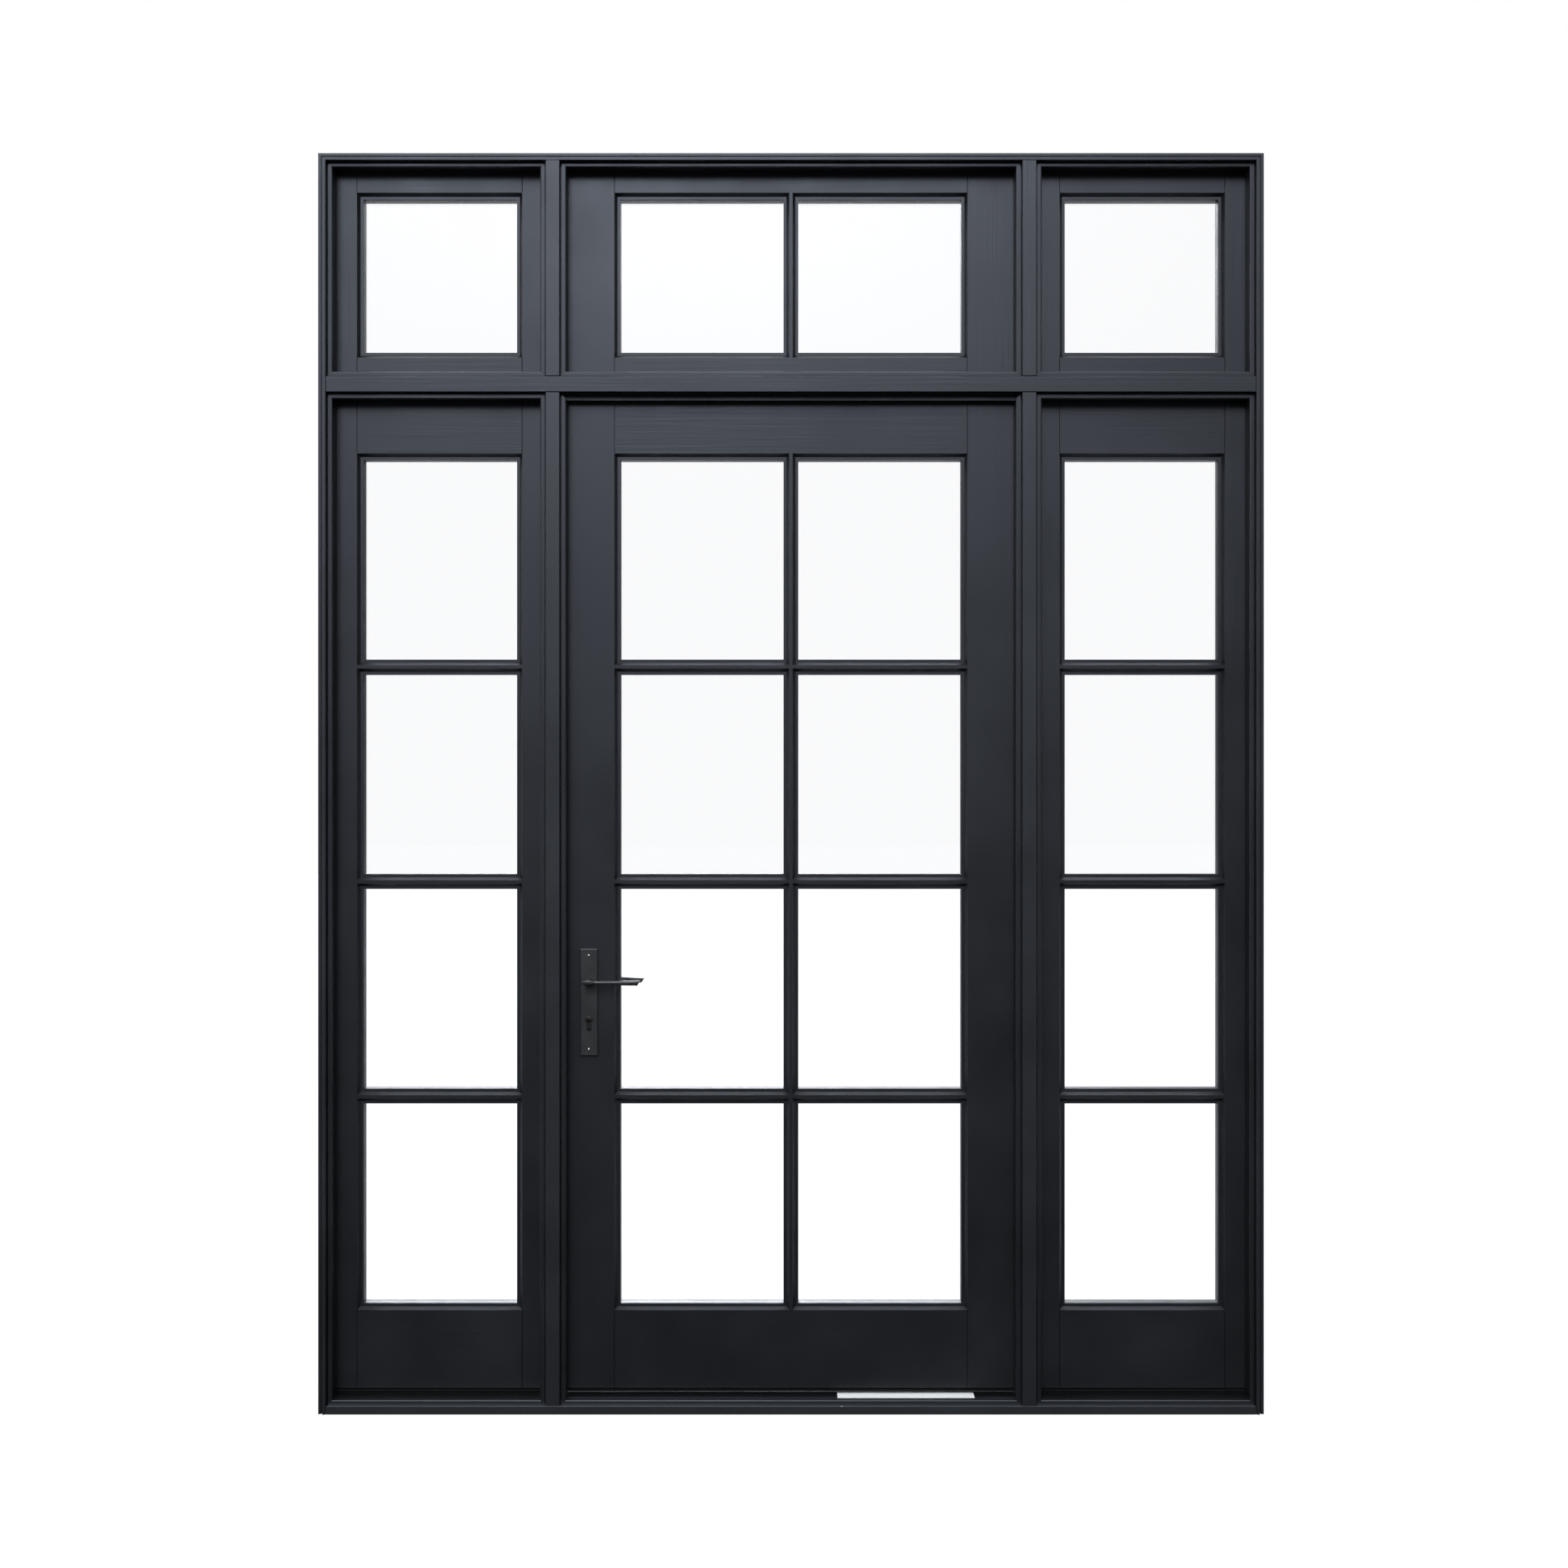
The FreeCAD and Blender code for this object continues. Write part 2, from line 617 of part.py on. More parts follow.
def make_inside_trims():
    """Flat trims on the inside face, which lap the fixed sashes and hold them in."""
    def section(a, b):
        return [(a, Y_BACK), (b, Y_BACK), (b, Y_TRIM, TRIM_ARRIS_R), (a, Y_TRIM, TRIM_ARRIS_R)]

    side_in = X_JAMB_CORE - TRIM_LAP
    head_low = Z_HEAD_CORE - TRIM_LAP
    transom_high = Z_TRANSOM_CORE_TOP + TRIM_LAP
    transom_low = Z_DOOR_RABBET + LEAF_GAP
    mull_out = X_MULL_CORE_OUT + TRIM_LAP
    mull_in = mull_out - MULLION_TRIM_W
    verticals = []
    for sign in (-1, 1):
        verticals.append(along_z(section(*sorted((sign * side_in, sign * X_EDGE))), 0.0, HEIGHT))
        span = section(*sorted((sign * mull_in, sign * mull_out)))
        verticals.append(along_z(span, SILL_TRIM_H, transom_low))
        verticals.append(along_z(span, transom_high, head_low))
    horizontals = []
    for low, high in ((0.0, SILL_TRIM_H), (transom_low, transom_high), (head_low, HEIGHT)):
        horizontals.append(along_x(
            [(Y_BACK, low), (Y_TRIM, low, TRIM_ARRIS_R), (Y_TRIM, high, TRIM_ARRIS_R), (Y_BACK, high)],
            -side_in, side_in))
    return {"interior_vertical_trims": verticals, "interior_horizontal_trims": horizontals}


def light_nodes(prefix, lights):
    """Nodes for a family of fixed lights: their stiles, rails, bars and panes, like with like."""
    groups = {"stiles": [], "rails": [], "uprights": [], "bars": [], "panes": []}
    for pieces in lights:
        for key, made in groups.items():
            made.extend(pieces[key])
    groups["bars"].extend(groups.pop("uprights"))
    return {prefix + "_" + key: made for key, made in groups.items()}


def make_transom_lights():
    """The three fixed lights above the transom."""
    lights = []
    for place, face, columns in (("left", SIDE_STILE_FACE, 1), ("centre", DOOR_STILE_FACE, DOOR_COLUMNS),
                                 ("right", SIDE_STILE_FACE, 1)):
        x0, x1, z0, z1 = UPPER_BAYS[place]
        outer = (x0 - STOP_W, x1 + STOP_W, z0 - STOP_W, z1 + STOP_W)
        sight = (x0 + face, x1 - face, z0 + UPPER_BOTTOM_RAIL_FACE, z1 - UPPER_TOP_RAIL_FACE)
        lights.append(sash_pieces(outer, sight, columns, 1))
    return light_nodes("transom_light", lights)


def weather_bar(x0, x1, z_low):
    """A weather bar under a sash: a set-back body with a lip out to the sash's face."""
    y_body = Y_SASH + WEATHER_BAR_SET_BACK
    body = box(x0, x1, y_body, Y_BACK, z_low, WEATHER_BAR_TOP)
    lip = box(x0, x1, Y_SASH, y_body, WEATHER_LIP_BOTTOM, WEATHER_LIP_TOP)
    return fused([body, lip])


def make_sidelights():
    """The two fixed sidelights and the weather bars that they stand on."""
    lights = []
    bars = []
    for place in ("left", "right"):
        x0, x1, z0, z1 = LOWER_BAYS[place]
        outer = (x0 - STOP_W, x1 + STOP_W, WEATHER_BAR_TOP, z1 + STOP_W)
        sight = (x0 + SIDE_STILE_FACE, x1 - SIDE_STILE_FACE, BOTTOM_RAIL_TOP, z1 - TOP_RAIL_FACE)
        lights.append(sash_pieces(outer, sight, 1, SIDE_ROWS))
        bars.append(weather_bar(outer[0], outer[1], z0))
    nodes = light_nodes("sidelight", lights)
    nodes["sidelight_weather_bars"] = bars
    return nodes


def euro_profile(y0, y1, ease=0.0):
    """The key cylinder's keyhole-shaped outline along Y, or a cut-out eased all round it."""
    half = CYL_W / 2.0 + ease
    z_foot = CYLINDER_Z + CYL_R - CYL_H + CYL_W / 2.0
    barrel = cylinder_y(BACKSET_X, CYLINDER_Z, CYL_R + ease, y0, y1)
    tail = box(BACKSET_X - half, BACKSET_X + half, y0, y1, z_foot, CYLINDER_Z)
    foot = cylinder_y(BACKSET_X, z_foot, half, y0, y1)
    return fused([barrel, tail, foot])


CYLINDER_Z = SPINDLE_Z - CYLINDER_DROP
Y_LOCK = (Y_SASH + Y_BACK) / 2.0
Y_PLATE_OUT = Y_SASH - PLATE_THICK
Y_PLATE_IN = Y_BACK + PLATE_THICK
SCREW_ZS = (SPINDLE_Z + SCREW_ABOVE_SPINDLE, SPINDLE_Z + SCREW_ABOVE_SPINDLE - SCREW_PITCH)


def spindle_bore():
    """The round way through the lock stile for the lever's spindle."""
    return cylinder_y(BACKSET_X, SPINDLE_Z, SPINDLE_BORE_R, Y_SASH, Y_BACK)


def faceplate_block():
    """The lock's faceplate, let in flush along the bevelled edge."""
    y0, y1 = Y_LOCK - FACEPLATE_W / 2.0, Y_LOCK + FACEPLATE_W / 2.0
    slope = LOCK_BEVEL / SASH_T
    x_at_0 = -X_LEAF + LOCK_BEVEL - slope * (y0 - Y_SASH)
    x_at_1 = -X_LEAF + LOCK_BEVEL - slope * (y1 - Y_SASH)
    section = [(x_at_0, y0), (x_at_0 + FACEPLATE_T, y0), (x_at_1 + FACEPLATE_T, y1), (x_at_1, y1)]
    return along_z(section, CYLINDER_Z - FACEPLATE_DOWN, SPINDLE_Z + FACEPLATE_UP)


def strike_block(depth):
    """A block of the strike plate's outline, let into the lock side of the frame."""
    return box(-X_DOOR_RABBET - depth, -X_DOOR_RABBET, Y_LOCK - STRIKE_W / 2.0, Y_LOCK + STRIKE_W / 2.0,
               CYLINDER_Z - STRIKE_DOWN, SPINDLE_Z + STRIKE_UP)


def strike_holes(depth):
    """The latch hole and the bolt hole."""
    return [box(-X_DOOR_RABBET - depth, -X_DOOR_RABBET, Y_LOCK - LATCH_W / 2.0, Y_LOCK + LATCH_W / 2.0,
                z - high / 2.0, z + high / 2.0) for z, high in ((SPINDLE_Z, LATCH_H), (CYLINDER_Z, BOLT_H))]


def strike_let_in():
    """The recess for the strike plate and the pockets behind its two holes."""
    return fused([strike_block(STRIKE_T)] + strike_holes(STRIKE_HOLE_D))


def strike_plate():
    """The strike plate on the lock side of the frame."""
    plate = strike_block(STRIKE_T)
    for hole in strike_holes(STRIKE_T):
        plate = plate.cut(hole)
    return plate


def make_door():
    """The door leaf: frame, bars, glass and weather bar."""
    sight = (-X_MULL_IN + DOOR_STILE_FACE, X_MULL_IN - DOOR_STILE_FACE,
             BOTTOM_RAIL_TOP, Z_TRANSOM_BOTTOM - TOP_RAIL_FACE)
    lites = sash_lites(sight, DOOR_COLUMNS, DOOR_ROWS)
    low, high = WEATHER_BAR_TOP, Z_LEAF_TOP
    lock_core = along_z([(sight[0] - STICK_W, Y_SASH), (-X_LEAF + LOCK_BEVEL, Y_SASH),
                         (-X_LEAF, Y_BACK), (sight[0] - STICK_W, Y_BACK)], low, high)
    lock = stile(lites, 0, "left", lock_core)
    lock = lock.cut(spindle_bore())
    lock = lock.cut(euro_profile(Y_SASH, Y_BACK, CUT_OUT_EASE))
    lock = lock.cut(faceplate_block())
    for z in SCREW_ZS:
        lock = lock.cut(cylinder_y(BACKSET_X, z, SCREW_R, Y_SASH, Y_BACK))
    hinge = stile(lites, DOOR_COLUMNS - 1, "right",
                  box(sight[1] + STICK_W, X_LEAF, Y_SASH, Y_BACK, low, high))
    for middle in HINGE_MIDS:
        hinge = hinge.cut(hinge_let_in(middle, X_LEAF, -1))
    return {
        "lock_stile": [lock],
        "hinge_stile": [hinge],
        "door_top_rail": [rail(lites[-1], "top", high)],
        "door_bottom_rail": [rail(lites[0], "bottom", low)],
        "door_upright_bar": [upright_bar(lites)],
        "door_cross_bars": cross_bars(lites),
        "door_panes": panes(lites),
        "door_weather_bar": [weather_bar(-X_LEAF + LOCK_BEVEL, X_LEAF, WEATHER_LIP_BOTTOM)],
        "lock_faceplate": [faceplate_block()],
    }


def make_hinges():
    """Three butt hinges on the right, seen from the inside."""
    return {
        "frame_hinge_leaves": [hinge_leaf(z, X_DOOR_RABBET, 1, 0, HINGE_PIN_R) for z in HINGE_MIDS],
        "door_hinge_leaves": [hinge_leaf(z, X_LEAF, -1, 1, HINGE_BORE_R) for z in HINGE_MIDS],
        "hinge_pins": [hinge_pin(z) for z in HINGE_MIDS],
    }


def hinge_pin(middle):
    """A pin with a round cap over each end of its hinge."""
    low, high = middle - HINGE_H / 2.0, middle + HINGE_H / 2.0
    return fused([cylinder_z(HINGE_X, HINGE_Y, HINGE_PIN_R, low, high),
                  cylinder_z(HINGE_X, HINGE_Y, HINGE_CAP_R, high, high + HINGE_CAP_H),
                  cylinder_z(HINGE_X, HINGE_Y, HINGE_CAP_R, low - HINGE_CAP_H, low)])


def handle_plate(y0, y1, outside):
    """A long plate with soft front arrises, bored for the lever, cylinder and screws."""
    x0, x1 = BACKSET_X - PLATE_W / 2.0, BACKSET_X + PLATE_W / 2.0
    plate = box(x0, x1, y0, y1, SCREW_ZS[1] - PLATE_END, SCREW_ZS[0] + PLATE_END)
    y_show = y0 if outside else y1
    edges = [e for e in plate.Edges
             if abs(e.BoundBox.YMin - y_show) < 0.01 and abs(e.BoundBox.YMax - y_show) < 0.01]
    plate = plate.makeFillet(PLATE_ARRIS_R, edges)
    plate = plate.cut(cylinder_y(BACKSET_X, SPINDLE_Z, NECK_BORE_R, y0, y1))
    plate = plate.cut(euro_profile(y0, y1, CUT_OUT_EASE))
    for z in SCREW_ZS:
        plate = plate.cut(cylinder_y(BACKSET_X, z, SCREW_R, y0, y1))
    return plate


def key_cylinder():
    """The double key cylinder, with a key slot in each end."""
    y0, y1 = Y_PLATE_OUT - CYL_PROUD, Y_PLATE_IN + CYL_PROUD
    body = euro_profile(y0, y1)
    for a, b in ((y0, y0 + KEY_SLOT_D), (y1 - KEY_SLOT_D, y1)):
        body = body.cut(box(BACKSET_X - KEY_SLOT_W / 2.0, BACKSET_X + KEY_SLOT_W / 2.0, a, b,
                            CYLINDER_Z - KEY_SLOT_H / 2.0, CYLINDER_Z + KEY_SLOT_H / 2.0))
    return body


def through_screw(z):
    """A screw through both plates, with a low head at each end."""
    shank = cylinder_y(BACKSET_X, z, SCREW_R, Y_PLATE_OUT, Y_PLATE_IN)
    return fused([shank,
                  cylinder_y(BACKSET_X, z, SCREW_HEAD_R, Y_PLATE_OUT - SCREW_HEAD_T, Y_PLATE_OUT),
                  cylinder_y(BACKSET_X, z, SCREW_HEAD_R, Y_PLATE_IN, Y_PLATE_IN + SCREW_HEAD_T)])


def lever(y_seat, y_plate, sign, droop):
    """A lever: a collar in the plate, a tapered neck and a flat arm with a raked tip.

    The arm is set on its neck at a droop below the level, in degrees.
    """
    y_start = y_seat + sign * NECK_FACE_GAP
    y_neck_end = y_plate + sign * LEVER_REACH
    y_arm_end = y_neck_end + sign * LEVER_T
    y_arm = sorted((y_neck_end, y_arm_end))
    y_shoulder = y_plate + sign * NECK_SHOULDER
    collar = cylinder_y(BACKSET_X, SPINDLE_Z, NECK_COLLAR_R, *sorted((y_start, y_shoulder)))
    neck = Part.makeCone(NECK_COLLAR_R, NECK_TIP_R, LEVER_REACH - NECK_SHOULDER,
                         Vector(BACKSET_X, y_shoulder, SPINDLE_Z), Vector(0, sign, 0))
    boss = cylinder_y(BACKSET_X, SPINDLE_Z, NECK_TIP_R, *y_arm)
    arm = along_y([
        (BACKSET_X - LEVER_BACK_X, SPINDLE_Z + LEVER_HUB_UP, LEVER_END_R),
        (BACKSET_X + LEVER_TIP_TOP_X, SPINDLE_Z + LEVER_TIP_UP, LEVER_TIP_R),
        (BACKSET_X + LEVER_TIP_BOTTOM_X, SPINDLE_Z - LEVER_TIP_DOWN, LEVER_END_R),
        (BACKSET_X - LEVER_BACK_X, SPINDLE_Z - LEVER_HUB_DOWN, LEVER_END_R),
    ], *y_arm)
    edges = [e for e in arm.Edges
             if abs(e.BoundBox.YMin - y_arm_end) < 0.01 and abs(e.BoundBox.YMax - y_arm_end) < 0.01]
    arm = arm.makeFillet(LEVER_ARRIS_R, edges)
    boss = boss.common(box(BACKSET_X - LEVER_BACK_X, BACKSET_X + LEVER_BACK_X, y_arm[0], y_arm[1],
                           SPINDLE_Z - NECK_TIP_R, SPINDLE_Z + LEVER_HUB_UP))
    arm = fused([arm, boss.common(arm)])
    arm.rotate(Vector(BACKSET_X, 0, SPINDLE_Z), Vector(0, 1, 0), droop)
    solid = fused([collar, neck, arm])
    half = SPINDLE_SQUARE / 2.0
    socket = box(BACKSET_X - half, BACKSET_X + half, *sorted((y_start, y_start + sign * SPINDLE_INSERT)),
                 SPINDLE_Z - half, SPINDLE_Z + half)
    return solid.cut(socket)


def make_lock_furniture():
    """Plates, cylinder and screws on the door, and the lever set that turns."""
    half = SPINDLE_SQUARE / 2.0
    y0 = Y_SASH - NECK_FACE_GAP - SPINDLE_INSERT
    y1 = Y_BACK + NECK_FACE_GAP + SPINDLE_INSERT
    return {
        "handle_plates": [handle_plate(Y_PLATE_OUT, Y_SASH, True), handle_plate(Y_BACK, Y_PLATE_IN, False)],
        "key_cylinder": [key_cylinder()],
        "handle_screws": [through_screw(z) for z in SCREW_ZS],
        "levers": [lever(Y_SASH, Y_PLATE_OUT, -1, 0.0), lever(Y_BACK, Y_PLATE_IN, 1, INSIDE_LEVER_DROOP)],
        "lever_spindle": [box(BACKSET_X - half, BACKSET_X + half, y0, y1,
                              SPINDLE_Z - half, SPINDLE_Z + half)],
        "strike_plate": [strike_plate()],
    }


def make_threshold():
    """Metal plate on the sill in the door bay, in three lengths, the middle one bare."""
    y0 = Y_SASH + PLATE_Y_FROM_SASH
    y1 = y0 + PLATE_DEPTH
    end = X_MULL_IN

    def length(x0, x1):
        return box(x0, x1, y0, y1, SILL_H, SILL_H + PLATE_T)

    return {
        "threshold_plate": [length(-end, BARE_X0 - PLATE_JOINT), length(BARE_X1 + PLATE_JOINT, end)],
        "threshold_bare_plate": [length(BARE_X0, BARE_X1)],
    }


def main():
    """Make every node and write its file."""
    os.makedirs("parts", exist_ok=True)
    nodes = {}
    for make in (make_frame, make_stops, make_outside_strips, make_inside_trims, make_transom_lights,
                 make_sidelights, make_door, make_hinges, make_lock_furniture, make_threshold):
        nodes.update(make())
    for name, solids in nodes.items():
        shape = solids[0] if len(solids) == 1 else Part.makeCompound(solids)
        shape.exportStep(os.path.join("parts", name + ".step"))
        count = len(shape.Solids)
        print(name, "solids", count, "valid", shape.isValid(), "volume", round(shape.Volume / 1000.0, 1))


main()
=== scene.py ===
import math

import bmesh
import bpy
from bpy.props import FloatProperty, FloatVectorProperty, PointerProperty
from mathutils import Matrix, Vector


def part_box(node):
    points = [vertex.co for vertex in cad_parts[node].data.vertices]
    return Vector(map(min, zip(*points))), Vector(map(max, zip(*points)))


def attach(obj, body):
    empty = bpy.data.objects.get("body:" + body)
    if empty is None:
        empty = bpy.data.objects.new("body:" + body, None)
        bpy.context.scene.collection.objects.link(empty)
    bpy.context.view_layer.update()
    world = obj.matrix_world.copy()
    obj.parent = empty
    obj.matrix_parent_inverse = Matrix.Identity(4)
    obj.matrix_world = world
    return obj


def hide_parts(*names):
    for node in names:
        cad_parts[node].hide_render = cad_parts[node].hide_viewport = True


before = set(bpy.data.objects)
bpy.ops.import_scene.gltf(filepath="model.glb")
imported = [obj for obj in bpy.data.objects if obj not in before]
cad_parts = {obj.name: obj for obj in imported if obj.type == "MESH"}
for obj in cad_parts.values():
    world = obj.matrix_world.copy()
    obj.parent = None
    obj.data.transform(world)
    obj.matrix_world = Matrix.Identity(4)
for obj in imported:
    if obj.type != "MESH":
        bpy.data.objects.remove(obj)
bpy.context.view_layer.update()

bl_info = {
    "name": "Glazed Entrance Unit",
    "version": (1, 0, 0),
    "blender": (4, 5, 0),
    "location": "View3D > Sidebar > Entrance",
    "description": "Finishes and small hardware for a painted timber door with sidelights",
    "category": "Object",
}

MM = 0.001

# Nodes of painted timber, by the way their grain runs.
UPRIGHT_TIMBER = (
    "jambs", "upper_mullions", "lower_mullions", "upright_stops", "interior_vertical_trims",
    "transom_light_stiles", "transom_light_bars", "sidelight_stiles", "lock_stile", "hinge_stile",
    "door_upright_bar",
)
LEVEL_TIMBER = (
    "head", "transom_rail", "sill", "level_stops", "head_casing", "transom_cover_strip",
    "interior_horizontal_trims", "sidelight_bars", "door_cross_bars",
)
# Rails that meet a stile at each end, and strips whose paint is drawn paler as painted light, for the extra
# light that falls on them.
RAILS = ("transom_light_rails", "sidelight_rails", "door_top_rail", "door_bottom_rail")
PAINTED_LIGHT_STRIPS = ("mullion_cover_strips", "side_casings")
GLASS = ("transom_light_panes", "sidelight_panes", "door_panes")

# How much paler the paint is drawn on the strips and on the nosing: painted light, for the extra light that
# falls on these forward faces.
STRIP_PAINTED_LIGHT = 1.7
NOSING_PAINTED_LIGHT = 2.6
# A chip in the nosing's arris that bares the primer: its place across, and its radius.
CHIP_X = 112.0 * MM
CHIP_R = 1.6 * MM

# Corners sharper than this stay sharp in a finished piece's shading.
SMOOTH_ANGLE = math.radians(35.0)
# Vertices nearer than this are one.
WELD = 0.002 * MM
# How far a countersunk head stands proud of the metal round it.
HEAD_PROUD = 0.15 * MM
MIRROR_X = Matrix.Scale(-1.0, 4, (1.0, 0.0, 0.0))
MIRROR_Y = Matrix.Scale(-1.0, 4, (0.0, 1.0, 0.0))


def linear(code):
    """Turn an sRGB hex code such as 2b2d32 into a linear colour."""
    values = [int(code[i:i + 2], 16) / 255.0 for i in (0, 2, 4)]
    return tuple(v / 12.92 if v <= 0.04045 else ((v + 0.055) / 1.055) ** 2.4 for v in values)


def swatch(name, description, code):
    """A setting that is a colour, from its sRGB hex code."""
    return FloatVectorProperty(name=name, description=description, default=linear(code), size=3,
                               min=0.0, max=1.0, subtype="COLOR")


def length(name, description, default, **limits):
    """A setting that is a length or a place, in metres."""
    return FloatProperty(name=name, description=description, default=default, unit="LENGTH",
                         subtype="DISTANCE", **limits)


class FinishSettings(bpy.types.PropertyGroup):
    """Colours and sheen of the unit's finishes."""

    paint: swatch("Paint", "Colour of the sprayed timber paint", "101112")
    paint_sheen: FloatProperty(
        name="Paint roughness", description="Roughness of the dried paint film",
        default=0.34, min=0.0, max=1.0, subtype="FACTOR")
    peel_size: length("Orange peel", "Width of one dimple of the sprayed film", 7.0 * MM, min=0.5 * MM)
    grain_width: length("Grain width", "Width of one line of grain under the paint", 5.0 * MM, min=0.5 * MM)
    grain_length: length("Grain length", "Length of one line of grain under the paint", 260.0 * MM,
                         min=10.0 * MM)
    glass: swatch("Glass", "Tint of the float glass", "dde0e8")
    furniture: swatch("Lock furniture", "Colour of the coated plates and levers", "1d1e20")
    coated_metal: swatch("Coated metal", "Colour of the powder coated weather bars", "0c0c0d")


class HardwareSettings(bpy.types.PropertyGroup):
    """Sizes of the small hardware that is modelled here."""

    backset: length("Spindle across", "Place of the lever's spindle from the middle of the unit", -453.0 * MM)
    spindle_height: length("Spindle height", "Height of the lever's spindle above the ground", 956.0 * MM)
    cylinder_drop: length("Cylinder drop", "From the spindle down to the key cylinder", 85.0 * MM)
    cylinder_tail: length("Cylinder tail", "Width of the key cylinder's lower part", 10.0 * MM)
    lever_thickness: length("Lever thickness", "Depth of the lever's arm from front to back", 11.0 * MM)
    lever_round: length("Lever rounding", "Radius along the arm's long edges", 3.8 * MM)
    lever_rake: length("Lever rake", "How far the arm's end leans back at its foot", 6.5 * MM)
    lever_root_up: length("Lever root above", "Height of the arm above the spindle at the hub", 5.0 * MM)
    lever_root_down: length("Lever root below", "Depth of the arm below the spindle at the hub", 3.8 * MM)
    lever_tip_up: length("Lever tip above", "Height of the arm above the spindle at its end", 5.6 * MM)
    lever_tip_down: length("Lever tip below", "Depth of the arm below the spindle at its end", 5.8 * MM)
    lever_droop: FloatProperty(
        name="Inside lever droop", description="How far the inside lever hangs below the level",
        default=math.radians(3.5), unit="ROTATION", subtype="ANGLE")
    hub_width: length("Lever hub", "Width of the arm's oval hub", 27.0 * MM)
    hub_height: length("Lever hub height", "Height of the arm's oval hub", 10.8 * MM)
    neck_width: length("Lever neck", "Width of the lever's neck at the plate", 17.0 * MM)
    neck_taper: length("Neck taper", "How much narrower the neck is at the arm", 3.0 * MM)
    screw_head: length("Plate screw", "Width of a handle plate screw's head", 5.2 * MM)
    screw_rise: length("Plate screw rise", "How far a handle plate screw stands proud", 0.9 * MM)
    screw_inset: length("Plate screw inset", "From an end of the handle plate to its screw", 15.0 * MM)
    hinge_screw: length("Hinge screw", "Width of a hinge screw's head", 8.0 * MM)
    hinge_height: length("Hinge height", "Height of a hinge", 100.0 * MM)
    frame_leaf_face: length("Frame leaf face", "Place of the hinge leaves' faces on the frame", 514.5 * MM)
    door_leaf_face: length("Door leaf face", "Place of the hinge leaves' faces on the door", 509.0 * MM)
    frame_back: length("Frame back", "Place of the frame's inside face from its middle", 54.0 * MM)
    leaf_thickness: length("Door thickness", "Thickness of the door leaf", 57.0 * MM)
    edge_bevel: length("Lock edge bevel", "How far the lock edge leans over the door's thickness", 3.0 * MM)
    seal_width: length("Seal width", "Width of the groove for the door's seal", 5.0 * MM)
    seal_bulb: length("Seal bulb", "Width of the seal's bulb, pressed by the door", 4.4 * MM)
    seal_gap: length("Seal gap", "Gap between two lengths of seal at a corner", 3.0 * MM)


class StageSettings(bpy.types.PropertyGroup):
    """Camera and light for the picture."""

    camera_across: length("Camera across", "Camera's place from the middle of the unit", -15.5 * MM)
    camera_back: length("Camera distance", "Camera's distance from the middle of the frame", 5.066, min=1.0)
    camera_height: length("Camera height", "Camera's height above the ground", 1.399)
    lens: FloatProperty(
        name="Lens", description="Focal length on a 36 mm sensor, in millimetres",
        default=51.76, min=10.0)
    soft_box_power: FloatProperty(
        name="Soft box", description="Power of the large lamp behind the camera",
        default=60.0, min=0.0, unit="POWER")
    back_fill_power: FloatProperty(
        name="Back fill", description="Power of the lamp behind the unit",
        default=60.0, min=0.0, unit="POWER")
    sky: FloatProperty(
        name="Sky", description="Level of the even light from all round above the horizon",
        default=0.12, min=0.0, max=3.0)
    sky_patch: FloatProperty(
        name="Sky patch", description="Level added in the bright patch in front of the unit",
        default=12.0, min=0.0, max=30.0)
    side_bands: FloatProperty(
        name="Side bands", description="Level added in the bands to the left and right of the patches",
        default=2.0, min=0.0, max=10.0)
    overhead: FloatProperty(
        name="Overhead", description="Level added straight above the unit",
        default=2.4, min=0.0, max=10.0)
    left_fill: FloatProperty(
        name="Left fill", description="Level added at the far left of the unit",
        default=0.6, min=0.0, max=10.0)


def add(tree, kind, inputs=None, **settings):
    """Add a node of a kind, set its settings, and set or link its inputs."""
    made = tree.nodes.new(kind)
    for name, value in settings.items():
        setattr(made, name, value)
    for key, value in (inputs or {}).items():
        if isinstance(value, bpy.types.NodeSocket):
            tree.links.new(value, made.inputs[key])
        else:
            made.inputs[key].default_value = value
    return made


def new_material(name):
    """An empty material, with its tree and object coordinates."""
    made = bpy.data.materials.new(name)
    made.use_nodes = True
    tree = made.node_tree
    tree.nodes.clear()
    coords = add(tree, "ShaderNodeTexCoord")
    return made, tree, coords.outputs["Object"]


def finish_surface(tree, bsdf):
    """Send a shader to the material's output."""
    add(tree, "ShaderNodeOutputMaterial", {"Surface": bsdf.outputs[0]})


def dress(names, made):
    """Give nodes or new pieces a material in place of the one that they have."""
    for name in names:
        slots = bpy.data.objects[name].data.materials
        slots.clear()
        slots.append(made)


